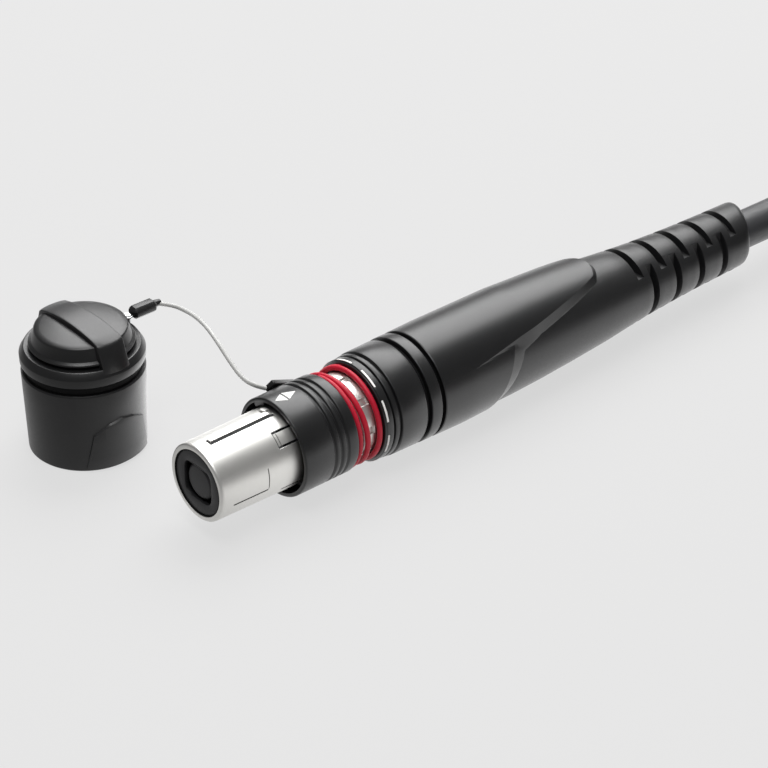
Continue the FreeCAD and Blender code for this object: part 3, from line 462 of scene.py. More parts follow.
def rounded(bm: BMesh, width: float, angle: float = 28.0, segments: int = 2) -> None:
    """Breaks every edge that is sharper than an angle.

    Args:
        bm: Mesh in millimetres.
        width: Width of the break.
        angle: Least angle between the faces, in degrees.
        segments: Facets across the break.
    """
    sharp = [e for e in bm.edges if e.is_manifold and e.calc_face_angle(0.0) > math.radians(angle)]
    bmesh.ops.bevel(bm, geom=sharp, offset=width, affect="EDGES", segments=segments, profile=0.5, material=-1,
                    clamp_overlap=True)


def patch(bm: BMesh, area: Area, outward: bool = True) -> list[BMFace]:
    """Picks the faces of one area of a shell round the plug's axis.

    Args:
        bm: The shell.
        area: Where the patch lies.
        outward: Whether the outer skin is meant, and not the bore.

    Returns:
        The faces of the patch.
    """
    start, end, centre, half = area
    found = []
    for face in bm.faces:
        middle = face.calc_center_median()
        side = face.normal.dot(Vector((0.0, middle.y, middle.z)).normalized())
        if start < middle.x < end and apart(bearing(middle), centre) < half and (side if outward else -side) > 0.5:
            found.append(face)
    return found


def lifted(bm: BMesh, faces: list[BMFace]) -> list[BMVert]:
    """Puts walls round a patch.

    Args:
        bm: The shell.
        faces: Faces of the patch.

    Returns:
        The points of the patch, free to move.
    """
    made = bmesh.ops.extrude_face_region(bm, geom=faces)["geom"]
    bmesh.ops.delete(bm, geom=[f for f in faces if f.is_valid], context="FACES_ONLY")
    return points_of(made)


def press(bm: BMesh, faces: list[BMFace], depth: float, upright: Station | None = None) -> None:
    """Pushes a patch in or out along its radius, with walls round it.

    Args:
        bm: The shell.
        faces: Faces of the patch.
        depth: How far it goes out; negative goes in.
        upright: Centre of a vertical axis, or nothing for the plug's own axis.
    """
    for vert in lifted(bm, faces):
        axis = Vector((vert.co.x, 0.0, 0.0)) if upright is None else Vector((*upright, vert.co.z))
        arm = vert.co - axis
        vert.co = axis + arm * ((arm.length + depth) / arm.length)


def pierce(bm: BMesh, area: Area) -> None:
    """Cuts an opening through the wall of a shell round the plug's axis.

    Args:
        bm: The shell.
        area: Where the opening lies.
    """
    rims = []
    for outward in (True, False):
        faces = patch(bm, area, outward)
        rim = [e for f in faces for e in f.edges if sum(n in faces for n in e.link_faces) == 1]
        bmesh.ops.delete(bm, geom=faces, context="FACES")
        rims += [e for e in rim if e.is_valid]
    bmesh.ops.bridge_loops(bm, edges=rims)


def settle(bm: BMesh, name: str, finish: Finish, *nodes: str, body: str = "plug", sharp: float = 32.0) -> Object:
    """Turns a finished mesh into a piece of the plug.

    Args:
        bm: Mesh in millimetres.
        name: Piece name.
        finish: Material of the piece.
        *nodes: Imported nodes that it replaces.
        body: Body that it moves with.
        sharp: Angle above which an edge stays crisp, in degrees.

    Returns:
        The piece.
    """
    bmesh.ops.remove_doubles(bm, verts=bm.verts, dist=1e-4)
    bmesh.ops.recalc_face_normals(bm, faces=bm.faces)
    for face in bm.faces:
        face.smooth = True
    for edge in bm.edges:
        edge.smooth = edge.is_manifold and edge.calc_face_angle(0.0) < math.radians(sharp)
    bmesh.ops.scale(bm, vec=(MM, MM, MM), verts=bm.verts)
    piece = solid(bm, name, finish.material())
    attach(piece, body)
    if nodes:
        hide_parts(*nodes)
    if finish.slot:
        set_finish(piece, finish.slot)
    return piece


def ring(name: str, finish: Finish, section: Line, width: float, *nodes: str, upright: Station | None = None) -> None:
    """Turns one closed section into a piece.

    Args:
        name: Piece name.
        finish: Material of the piece.
        section: Its points, each a place along the axis and a radius.
        width: Width of the edge breaks, or zero for none.
        *nodes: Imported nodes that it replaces.
        upright: Centre of a vertical axis, or nothing for the plug's own axis.
    """
    bm = turned(section, closed=True, upright=upright)
    if width:
        rounded(bm, width)
    settle(bm, name, finish, *nodes)


@dataclass
class Nose:
    """The plated nose with its key rail, latch fingers, insert and shutter."""

    bore_r: float = 8.6
    lip_r: float = 8.32
    front_r: float = 9.61
    taper: float = 0.0135
    tube_r: float = 10.4
    end_x: float = 47.0
    rail_gap: Area = (3.5, 4.0, 0.0, 5.2)
    rail_line: Area = (3.5, 22.0, 6.25, 1.3)
    rail: Area = (4.0, 21.0, 0.0, 5.2)
    rail_height: float = 0.32
    # Long sides of the line that move after it is cut: bearing and by how much.
    rail_sides: Line = ((7.5, 0.2), (5.0, -2.0))
    stop_gap: Area = (20.2, 20.5, -10.0, 4.0)
    stop: Area = (20.5, 22.0, -10.0, 4.0)
    stop_height: float = 0.5
    # The outline of the sunk panel: its side and its end.
    panel: tuple[Area, Area] = ((3.4, 13.3, 106.25, 1.3), (13.3, 13.5, 89.0, 16.0))
    panel_depth: float = 0.3
    finger: Station = (17.8, 25.0)
    finger_turns: tuple[float, ...] = (42.5, 132.5, 222.5, 312.5)
    finger_side: float = 11.25
    finger_cut: float = 1.3
    finger_widen: float = 0.8
    finger_half: float = 10.2
    # Lines across each finger: front, rear and depth.
    finger_lines: tuple[Point, ...] = ((17.8, 17.96, 0.4), (18.6, 18.74, 0.2))
    tab_groove: Area = (41.7, 42.1, 0.0, 181.0)
    tab: Station = (42.1, 44.3)
    tab_half: float = 6.2
    tab_depth: float = 0.5
    face_x: float = 0.3
    insert_r: float = 8.02
    insert_depth: float = 8.0
    opening: Station = (4.9, 4.7)
    room: Station = (5.7, 5.4)
    lip: float = 1.1
    shutter_r: float = 4.4
    shutter_x: Point = (0.8, 1.15, 1.78)
    hinge: Point = (1.2, 0.0, 4.05)
    rod_r: float = 0.42
    rod_length: float = 10.4

    def profile(self) -> list[Station]:
        """Gives the section of the nose.

        Returns:
            Its points, from the lip over the outside to the bore.
        """
        spans = (self.rail_gap, self.rail_line, self.rail, self.stop_gap, self.stop, *self.panel, self.finger,
                 *self.finger_lines)
        places = sorted({0.9, 8.6, 29.0, *(x for span in spans for x in span[:2])})
        outer = [(0.05, self.lip_r), (0.0, 8.45), (0.0, 9.12), (0.12, 9.38), (0.4, 9.56)]
        outer += [(x, self.front_r + self.taper * x) for x in places]
        outer += [(x, self.tube_r) for x in (31.0, self.tab_groove[0], *self.tab, self.end_x)]
        inner = [(x, self.bore_r) for x in (self.end_x, *reversed(places), 0.6)]
        return outer + inner + [(0.6, self.lip_r)]

    def shell(self) -> None:
        """Shapes and plates the nose."""
        bm = turned(self.profile(), closed=True)
        for turn in self.finger_turns:
            for way in (-1, 1):
                pierce(bm, (*self.finger, turn + way * self.finger_side, self.finger_cut))
                self.widen(bm, self.finger, turn + way * (self.finger_side - 1.25), -way * self.finger_widen)
            for start, end, depth in self.finger_lines:
                press(bm, patch(bm, (start, end, turn, self.finger_half)), -depth)
        # The shadow line along the rail is a narrow cut that shows the dark lining of painted shade behind it.
        pierce(bm, self.rail_line)
        pierce(bm, self.rail_gap)
        for side in self.rail_sides:
            self.widen(bm, self.rail_line, *side)
        press(bm, patch(bm, self.rail), self.rail_height)
        pierce(bm, self.stop_gap)
        press(bm, patch(bm, self.stop), self.stop_height)
        for area in self.panel:
            press(bm, patch(bm, area), -self.panel_depth)
        for area in (self.tab_groove, *((*self.tab, 45.0 + 40 * turn, self.tab_half) for turn in range(9))):
            press(bm, patch(bm, area), -self.tab_depth)
        rounded(bm, 0.05, segments=1)
        settle(bm, "nose_plated", NICKEL, "nose_shell")

    def widen(self, bm: BMesh, span: tuple[float, ...], turn: float, more: float) -> None:
        """Moves one long side of a cut round the nose.

        Args:
            bm: The nose.
            span: The cut, its two ends along the axis first.
            turn: Bearing of the side.
            more: How far it moves, in degrees.
        """
        for vert in bm.verts:
            if apart(bearing(vert.co), turn) < 0.2 and span[0] - 0.05 < vert.co.x < span[1] + 0.05:
                vert.co.rotate(rotation(more, "X"))

    def square(self, verts: Iterable[BMVert], half: Station, depth: float) -> None:
        """Sets points on a square with rounded corners, the fourth-power oval through two half widths.

        Args:
            verts: The points.
            half: Half its width and half its height.
            depth: How deep it lies.
        """
        for vert in verts:
            way = vert.co.xy.normalized()
            reach = ((abs(way.x) / half[1]) ** 4 + (abs(way.y) / half[0]) ** 4) ** -0.25
            vert.co = (*(way * reach), -depth)

    def insert(self) -> None:
        """Shapes the insert with its rounded square opening, which widens to a room for the open shutter."""
        bm = bmesh.new()
        rims = []
        for radius in (self.insert_r, 4.8):
            circle = bmesh.ops.create_circle(bm, segments=96, radius=radius)["verts"]
            rims.append(list({e for v in circle for e in v.link_edges}))
        self.square(circle, self.opening, 0.0)
        bmesh.ops.bridge_loops(bm, edges=rims[0] + rims[1])
        ends = []
        walls = ((None, self.insert_depth),), ((self.opening, self.lip), (self.room, self.lip),
                                               (self.room, self.insert_depth))
        for rim, steps in zip(rims, walls):
            for half, depth in steps:
                fresh = set(points_of(bmesh.ops.extrude_edge_only(bm, edges=rim)["geom"]))
                rim = [e for e in bm.edges if e.is_boundary and fresh.issuperset(e.verts)]
                if half:
                    self.square(fresh, half, depth)
                else:
                    bmesh.ops.translate(bm, verts=list(fresh), vec=(0, 0, -depth))
            ends += rim
        bmesh.ops.bridge_loops(bm, edges=ends)
        bmesh.ops.rotate(bm, verts=bm.verts, matrix=rotation(-90, "Y"))
        bmesh.ops.translate(bm, verts=bm.verts, vec=(self.face_x, 0, 0))
        bmesh.ops.recalc_face_normals(bm, faces=bm.faces)
        rounded(bm, 0.16, 40.0)
        settle(bm, "insert_face", PBT, "nose_insert")

    def shutter(self) -> None:
        """Shapes the round shutter door with its hinge rod."""
        front, rim, back = self.shutter_x
        bm = turned([(front, 0.0), (front, self.shutter_r - 0.6), (rim, self.shutter_r), (back, self.shutter_r),
                     (back, 0.0)], 96)
        rounded(bm, 0.06)
        rod = bmesh.ops.create_cone(bm, cap_ends=True, segments=20, radius1=self.rod_r, radius2=self.rod_r,
                                    depth=self.rod_length)["verts"]
        bmesh.ops.rotate(bm, verts=rod, matrix=rotation(90, "X"))
        bmesh.ops.translate(bm, verts=rod, vec=self.hinge)
        settle(bm, "shutter_disc", PBT, "shutter", body="shutter_door")

    def build(self) -> None:
        """Makes the nose, the painted shade lining behind its cuts, the insert, the black seal round that and the
        shutter.
        """
        self.shell()
        # A dark grey lining of painted shade shows through the nose's cuts.
        ring("nose_liner", SHADE_LINING, ((2.2, 8.7), (2.2, 9.49), (26.0, 9.81), (26.0, 8.7)), 0.0)
        self.insert()
        ring("insert_seal_lip", SILICONE, ((0.14, 8.0), (0.08, 8.1), (0.08, 8.34), (1.0, 8.34), (1.0, 8.0)), 0.0)
        self.shutter()


@dataclass
class LockingSleeve:
    """The sliding sleeve with its pull grooves and the two printed arrows."""

    start_x: float = 22.2
    end_x: float = 38.0
    outer_r: float = 12.4
    mouth_r: float = 11.35
    mouth: Station = (22.7, 27.0)
    guide_r: float = 10.55
    grooves: tuple[float, ...] = (31.0, 32.9, 34.8)
    groove_depth: float = 0.5
    rib_turn: float = -31.0
    rib_half: float = 10.2
    rib_height: float = 1.05
    print_lift: float = 0.012
    print_thick: float = 0.02
    print_half: float = 7.5

    def shell(self) -> None:
        """Shapes the sleeve."""
        outer = [(self.start_x, self.outer_r - 0.18), (self.start_x + 0.3, self.outer_r)]
        low = self.outer_r - self.groove_depth
        for x in self.grooves:
            outer += [(x - 0.5, self.outer_r), (x - 0.22, low), (x + 0.22, low), (x + 0.5, self.outer_r)]
        outer += [(self.end_x - 0.25, self.outer_r), (self.end_x, self.outer_r - 0.2)]
        inner = [(self.end_x, self.guide_r), (27.2, self.guide_r), (self.mouth[1], self.mouth_r),
                 (self.mouth[0], self.mouth_r), (self.start_x, self.mouth_r)]
        bm = turned(outer + inner, closed=True)
        press(bm, patch(bm, (*self.mouth, self.rib_turn, self.rib_half), False), -self.rib_height)
        rounded(bm, 0.14, 20.0)
        settle(bm, "sleeve_shell", BLACK_NYLON, "locking_sleeve", body="sleeve")

    def arrow(self, name: str, tip_x: float, base_x: float, turn: float) -> None:
        """Prints one triangle on the sleeve, as a thin film.

        Args:
            name: Piece name.
            tip_x: Where its point lies along the axis.
            base_x: Where its base lies.
            turn: Bearing of its middle.
        """
        bm = bmesh.new()
        corners = ((tip_x, turn), (base_x, turn - self.print_half), (base_x, turn + self.print_half))
        bm.faces.new([bm.verts.new((*corner, 0.0)) for corner in corners])
        bmesh.ops.subdivide_edges(bm, edges=bm.edges, cuts=7, use_grid_fill=True)
        radius = self.outer_r + self.print_lift
        for vert in bm.verts:
            angle = math.radians(vert.co.y)
            vert.co = Vector((vert.co.x, -radius * math.sin(angle), radius * math.cos(angle)))
        bmesh.ops.recalc_face_normals(bm, faces=bm.faces)
        bmesh.ops.solidify(bm, geom=bm.faces[:], thickness=self.print_thick)
        settle(bm, name, WHITE_PRINT_AND_GLINT, body="sleeve")

    def build(self) -> None:
        """Makes the sleeve and its print."""
        self.shell()
        self.arrow("sleeve_mark_front", 23.3, 25.9, -0.5)
        self.arrow("sleeve_mark_rear", 29.4, 26.45, -1.5)


@dataclass
class ReturnSpring:
    """The red spring that pushes the sleeve forward: closed turn, open turn, closed turn."""

    wire_r: float = 0.68
    coil_r: float = 11.42
    start_x: float = 38.7
    start_turn: float = -15.0
    rises: Point = (1.1, 5.1, 0.25)
    anchor_x: float = 45.4
    pressed: float = 0.66
    steps: int = 72

    def build(self) -> None:
        """Winds the wire."""
        bm = bmesh.new()
        circle = bmesh.ops.create_circle(bm, cap_ends=True, segments=14, radius=self.wire_r)["verts"]
        bmesh.ops.rotate(bm, verts=circle, matrix=rotation(90, "X"))
        bmesh.ops.translate(bm, verts=circle, vec=(self.start_x, 0, self.coil_r))
        bmesh.ops.rotate(bm, verts=circle, matrix=rotation(self.start_turn, "X"))
        last: list = bm.edges[:] + circle
        for rise in self.rises:
            spun = bmesh.ops.spin(bm, geom=last, cent=(0, 0, 0), axis=(1, 0, 0), angle=math.tau, steps=self.steps,
                                  dvec=(rise / self.steps, 0, 0), use_duplicate=False)
            last = [g for g in spun["geom_last"] if not isinstance(g, BMFace)]
        bmesh.ops.contextual_create(bm, geom=[g for g in last if isinstance(g, BMEdge)])
        piece = settle(bm, "spring_wire", RED_WIRE, "return_spring", sharp=50.0)
        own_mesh(piece)


@dataclass
class Barrel:
    """Spring seat, collar, intermediate ring and the seals between them."""

    core_r: float = 10.45
    slot: Station = (46.35, 46.85)
    slot_half: float = 12.5
    slot_depth: float = 0.25
    seal_pitch: float = 4.33

    def seat(self) -> None:
        """Shapes the spring seat with its nine slots."""
        bm = turned([(45.9, self.core_r), (45.9, 12.3), (46.0, 12.45), (46.15, 12.5), (self.slot[0], 12.8),
                     (self.slot[1], 12.82), (47.0, 12.84), (48.1, 12.88), (48.22, 12.7), (48.22, self.core_r)],
                    closed=True)
        for turn in range(9):
            press(bm, patch(bm, (*self.slot, 25.0 + 40 * turn, self.slot_half)), -self.slot_depth)
        rounded(bm, 0.06)
        settle(bm, "spring_seat_ring", BLACK_NYLON, "spring_seat")

    def seals(self) -> None:
        """Lays the two black seals."""
        bm = turned([(58.45, self.core_r), (58.45, 12.4), (59.1, 12.6), (59.7, 12.4), (59.7, self.core_r)], closed=True)
        copy = bmesh.ops.duplicate(bm, geom=bm.verts[:] + bm.edges[:] + bm.faces[:])["geom"]
        bmesh.ops.translate(bm, verts=points_of(copy), vec=(self.seal_pitch, 0, 0))
        rounded(bm, 0.12)
        settle(bm, "groove_seals", SILICONE, "groove_seal_front", "groove_seal_rear")

    def build(self) -> None:
        """Makes the seat, the collar with its two fine grooves, the ring behind it and the seals."""
        self.seat()
        ring("collar_body", BLACK_NYLON,
             ((48.3, self.core_r), (48.3, 12.3), (48.6, 12.3), (48.75, 12.95), (49.75, 13.06), (49.9, 12.4),
              (50.5, 12.4), (50.65, 13.2), (50.9, 13.26), (58.0, 13.4), (58.4, 13.2), (58.4, self.core_r)),
             0.1, "collar")
        ring("barrel_band", BLACK_NYLON,
             ((59.75, self.core_r), (59.75, 13.35), (59.95, 13.5), (62.65, 13.54), (62.85, 13.4),
              (62.85, self.core_r)), 0.1, "barrel_ring")
        self.seals()


BOOT_LINE: Line = (
    (80.0, 12.74), (90.0, 12.7), (100.0, 12.36), (104.5, 12.1), (111.0, 11.77), (115.0, 11.49), (119.5, 11.2),
    (124.0, 10.9), (128.4, 10.47), (133.0, 10.06), (137.5, 9.67), (142.0, 9.37), (146.0, 9.15), (151.0, 8.92),
    (155.0, 8.73), (160.0, 8.59), (165.0, 8.48), (170.0, 8.38), (175.7, 8.25), (176.7, 8.05),
    (177.4, 7.6), (177.7, 7.0))
GRIP_LINE: Line = (
    (64.0, 13.42), (64.25, 13.56), (66.0, 13.62), (72.0, 13.74), (95.0, 13.74), (101.0, 13.47), (107.0, 13.2),
    (113.0, 12.92), (119.0, 12.58), (124.6, 12.25))


@dataclass
class Grip:
    """The raised grip shell: full round in front, running back as a tongue along the top of the boot.

    Its border lines are drawn on the side view, each point a place along the axis and a height.
    """

    crease: Line = ((73.9, 6.03), (89.6, 8.19), (118.7, 11.3))
    foot: Line = ((74.0, 0.57), (90.9, 4.7), (97.0, 6.65), (119.9, 10.5))
    tail: tuple[Line, Line] = (((118.2, 10.8), (121.6, 12.4)), ((120.2, 10.6), (123.5, 12.4)))
    step: tuple[Line, Line] = (((80.4, -10.1), (87.4, 6.8)), ((84.0, -8.8), (90.4, 4.0)))
    spike: Line = ((73.9, 6.03), (88.0, 6.1))
    front_fall: float = 0.026
    boot_x: float = 79.0
    sink: float = 0.04
    wall_share: float = 0.79

    def radius(self, x: float, z: float) -> float:
        """Gives the outer radius of the grip.

        Args:
            x: Place along the axis.
            z: Height on the full round.

        Returns:
            The radius, which meets the boot's where the grip ends.
        """
        low = between(BOOT_LINE, x)
        high = between(GRIP_LINE, x)
        top = min(self.facet(x, z, high, low), self.fallen(self.tail, x, z, high, low))
        front = high - self.front_fall * max(x - self.crease[0][0], 0.0)
        return max(top, self.fallen(self.step, x, z, front, low))

    def fallen(self, lines: tuple[Line, Line], x: float, z: float, high: float, low: float) -> float:
        """Gives the radius on a step that falls from high to low between two border lines."""
        start, end = (x0 + (x1 - x0) * (z - z0) / (z1 - z0) for (x0, z0), (x1, z1) in lines)
        return high + (low - high) * min(max((x - start) / (end - start), 0.0), 1.0)

    def facet(self, x: float, z: float, high: float, low: float) -> float:
        """Gives the radius on the flat band between the crease and its foot.

        Args:
            x: Place along the axis.
            z: Height on the full round.
            high: Radius above the band.
            low: Radius below it.

        Returns:
            The radius.
        """
        start, here, end = (math.acos(min(max(level / high, -1.0), 1.0))
                            for level in (between(self.crease, x), z, between(self.foot, x)))
        if here <= start or here >= end:
            return high if here <= start else low
        from_y, from_z = high * math.sin(start), high * math.cos(start)
        to_y, to_z = low * math.sin(end), low * math.cos(end)
        return (from_y * to_z - from_z * to_y) / (math.sin(here) * (to_z - from_z) - math.cos(here) * (to_y - from_y))

    def build(self) -> None:
        """Shapes the grip: cuts a round shell along the border lines, then sets each point to its radius."""
        front_x = GRIP_LINE[0][0]
        places = [front_x, 64.25, 66.0, 69.0, 72.0] + [73.9 + 1.05 * i for i in range(49)]
        bm = turned([(x, between(GRIP_LINE, x)) for x in places], 160)
        borders = (self.crease, self.foot, *self.tail, *self.step, self.spike)
        for (x0, z0), (x1, z1) in (pair for line in borders for pair in zip(line, line[1:])):
            way = Vector((x1 - x0, 0.0, z1 - z0)).normalized()
            bmesh.ops.bisect_plane(bm, geom=bm.verts[:] + bm.edges[:] + bm.faces[:], dist=1e-4, plane_co=(x0, 0, z0),
                                   plane_no=(-way.z, 0.0, way.x))
        sunk = set()
        for vert in bm.verts:
            x, full = vert.co.x, math.hypot(vert.co.y, vert.co.z)
            wanted = self.radius(x, vert.co.z)
            if x > self.boot_x and wanted < between(BOOT_LINE, x) + 0.01:
                wanted -= self.sink
                sunk.add(vert)
            scale = wanted / full
            vert.co = Vector((x, vert.co.y * scale, vert.co.z * scale))
        bmesh.ops.delete(bm, geom=[f for f in bm.faces if sunk.issuperset(f.verts)], context="FACES")
        front = [e for e in bm.edges if e.is_boundary and all(v.co.x < front_x + 0.01 for v in e.verts)]
        for vert in points_of(bmesh.ops.extrude_edge_only(bm, edges=front)["geom"]):
            vert.co = Vector((vert.co.x, vert.co.y * self.wall_share, vert.co.z * self.wall_share))
        settle(bm, "grip_skin", BLACK_NYLON, "grip_shell", sharp=6.0)


@dataclass
class Boot:
    """The tapered bend relief with its two families of slots."""

    front: Station = (80.0, 10.6)
    bore_r: float = 5.06
    slot_width: float = 2.2
    top_slots: tuple[float, ...] = (134.0, 142.7, 151.3, 160.0, 168.8)
    side_slots: tuple[float, ...] = (138.3, 147.0, 155.7, 164.4)
    slot_half: float = 52.5
    slot_floor: float = 6.6
    run_out: float = 0.985
    end_slant: float = 0.4
    slant_x: float = 170.5

    def build(self) -> None:
        """Shapes the boot and cuts its slots."""
        places = {x for x, _ in BOOT_LINE}
        for x in self.top_slots + self.side_slots:
            places |= {round(x - self.slot_width / 2, 3), round(x + self.slot_width / 2, 3)}
        outer = [(x, between(BOOT_LINE, x)) for x in sorted(places)]
        bm = turned([self.front, *outer, (177.5, 6.6), (177.3, self.bore_r), (172.0, self.bore_r)])
        for slots, turns in ((self.top_slots, (0.0, 180.0)), (self.side_slots, (90.0, 270.0))):
            for x in slots:
                for turn in turns:
                    self.cut(bm, x, turn)
        rounded(bm, 0.16, 35.0)
        for vert in bm.verts:
            # The rear end is cut at a slant, shorter on the viewer's side.
            vert.co.x += self.end_slant * vert.co.y * smoothstep((vert.co.x - self.slant_x) / 5.0)
        settle(bm, "boot_skin", ELASTOMER, "boot")

    def cut(self, bm: BMesh, x: float, turn: float) -> None:
        """Cuts one slot with a flat floor that runs out at its ends.

        Args:
            bm: The boot.
            x: Middle of the slot along the axis.
            turn: Bearing of its middle.
        """
        half = self.slot_width / 2
        for vert in lifted(bm, patch(bm, (x - half, x + half, turn, self.slot_half))):
            full = math.hypot(vert.co.y, vert.co.z)
            level = full * self.run_out * math.cos(math.radians(self.slot_half))
            lean = math.cos(math.radians(apart(bearing(vert.co), turn)))
            scale = max(self.slot_floor, level / lean) / full
            vert.co = Vector((vert.co.x, vert.co.y * scale, vert.co.z * scale))


@dataclass
class DustCap:
    """The tethered cap standing on its rim beside the nose. Its sections give heights above the floor."""

    # Outline of the raised panel on the viewer's side: place along the plug's axis and height above the floor.
    panel: Line = ((-4.94, 0.75), (-3.28, 10.45), (0.4, 12.75), (3.7, 13.6), (7.0, 12.75), (10.6, 10.6), (12.3, 0.75))
    panel_relief: float = 0.5
    panel_lean: float = 0.3
    # Past this distance in front of the cap's middle a point belongs to the viewer's side.
    near: float = 4.0
    bar_half_width: float = 3.6
    bar_side: Line = (
        (-14.2, 26.2), (-13.5, 28.0), (-12.0, 32.3), (-11.3, 32.95), (-8.5, 33.45), (-5.6, 33.85), (-2.8, 34.05),
        (0.0, 34.1), (2.8, 34.0), (5.6, 33.72), (8.5, 33.2), (11.2, 32.5), (12.1, 31.8), (13.3, 28.0))
    end_bulge: float = 0.7

    def inside(self, x: float, height: float) -> bool:
        """Tells whether a place along the plug's axis and a height lie on the raised panel."""
        return height > self.panel[0][1] and all((x1 - x0) * (height - h0) - (h1 - h0) * (x - x0) < 0
                                                 for (x0, h0), (x1, h1) in zip(self.panel, self.panel[1:]))

    def cup(self) -> None:
        """Shapes the cup and raises its panel."""
        bm = turned([(0.0, 13.0), (0.0, 13.9), (0.35, 14.25), (0.75, 14.27), (4.0, 14.36), (8.0, 14.48), (12.0, 14.6),
                     (16.0, 14.73), (20.9, 14.87), (21.3, 14.6), (21.3, 12.0), (21.0, 12.0), (21.0, 12.95),
                     (0.3, 12.95)], closed=True, upright=CAP_CENTRE)
        near_y = CAP_CENTRE[1] - self.near
        for (x0, h0), (x1, h1) in zip(self.panel, self.panel[1:]):
            near = [f for f in bm.faces if f.calc_center_median().y < near_y]
            geom = near + list({e for f in near for e in f.edges}) + list({v for f in near for v in f.verts})
            bmesh.ops.bisect_plane(bm, geom=geom, dist=1e-4, plane_co=(x0, 0, h0 + FLOOR_Z),
                                   plane_no=(h1 - h0, 0.0, x0 - x1))
        raised = []
        for face in bm.faces:
            middle = face.calc_center_median()
            if face.normal.y < -0.2 and middle.y < near_y and self.inside(middle.x, middle.z - FLOOR_Z):
                raised.append(face)
        press(bm, raised, self.panel_relief, CAP_CENTRE)
        for vert in bm.verts:
            # The panel's upper wall leans back, so that it takes the light from above.
            height = vert.co.z - FLOOR_Z
            arm = math.hypot(vert.co.x - CAP_CENTRE[0], vert.co.y - CAP_CENTRE[1])
            if height < 14 and vert.co.y < near_y and arm > 14.55 + 0.03 * height:
                vert.co.z -= self.panel_lean * smoothstep((height - 3.0) / 5.0)
        rounded(bm, 0.05)
        settle(bm, "cap_cup_wall", BLACK_NYLON, "cap_cup")

    def knob(self) -> None:
        """Shapes the tiered knob and its shallow dome."""
        bm = turned([(27.0, 0.0), (27.0, 12.1), (27.85, 12.15), (27.95, 12.55), (28.1, 12.7), (28.4, 12.7),
                     (28.5, 12.6), (28.88, 11.95), (29.0, 11.86), (31.6, 11.25), (31.9, 11.13), (32.13, 10.85),
                     (32.35, 9.6), (32.62, 7.8), (32.84, 5.6), (32.97, 3.0), (33.0, 0.0)], upright=CAP_CENTRE)
        rounded(bm, 0.1, 34.0)
        settle(bm, "cap_knob_dome", BLACK_NYLON, "cap_knob", sharp=40.0)

    def bar(self) -> None:
        """Shapes the finger bar across the knob, its ends falling to the flange."""
        bm = bmesh.new()
        left = CAP_CENTRE[0] - self.bar_half_width
        face = bm.faces.new([bm.verts.new((left, CAP_CENTRE[1] + y, h + FLOOR_Z)) for y, h in self.bar_side])
        made = bmesh.ops.extrude_face_region(bm, geom=[face])["geom"]
        bmesh.ops.translate(bm, verts=points_of(made), vec=(2 * self.bar_half_width, 0, 0))
        bmesh.ops.recalc_face_normals(bm, faces=bm.faces)
        across = [e for e in bm.edges if abs(e.verts[0].co.x - e.verts[1].co.x) > self.bar_half_width]
        bmesh.ops.subdivide_edges(bm, edges=across, cuts=7, use_grid_fill=True)
        for vert in bm.verts:
            # Both ends bulge, as arcs round the knob's centre.
            swell = 1 - ((vert.co.x - CAP_CENTRE[0]) / self.bar_half_width) ** 2
            reach = vert.co.y - CAP_CENTRE[1]
            vert.co.y += self.end_bulge * swell * smoothstep((abs(reach) - 9.0) / 3.0) * math.copysign(1.0, reach)
        rounded(bm, 0.3, 40.0, 3)
        settle(bm, "cap_finger_bar", BLACK_NYLON, sharp=40.0)

    def build(self) -> None:
        """Makes the cup, the seal, the flange with its steep bevel and flat ledge, the knob and its bar."""
        self.cup()
        ring("cap_seal_ring", SILICONE, ((21.25, 12.0), (21.25, 14.0), (22.3, 14.15), (23.45, 14.0), (23.45, 12.0)),
             0.0, "cap_seal", upright=CAP_CENTRE)
        ring("cap_flange_ring", BLACK_NYLON,
             ((23.4, 11.0), (23.4, 14.6), (23.7, 14.95), (25.67, 15.0), (27.2, 14.05), (27.35, 13.85), (27.35, 13.7),
              (27.3, 13.5), (27.3, 11.0)), 0.08, "cap_flange", upright=CAP_CENTRE)
        self.knob()
        self.bar()


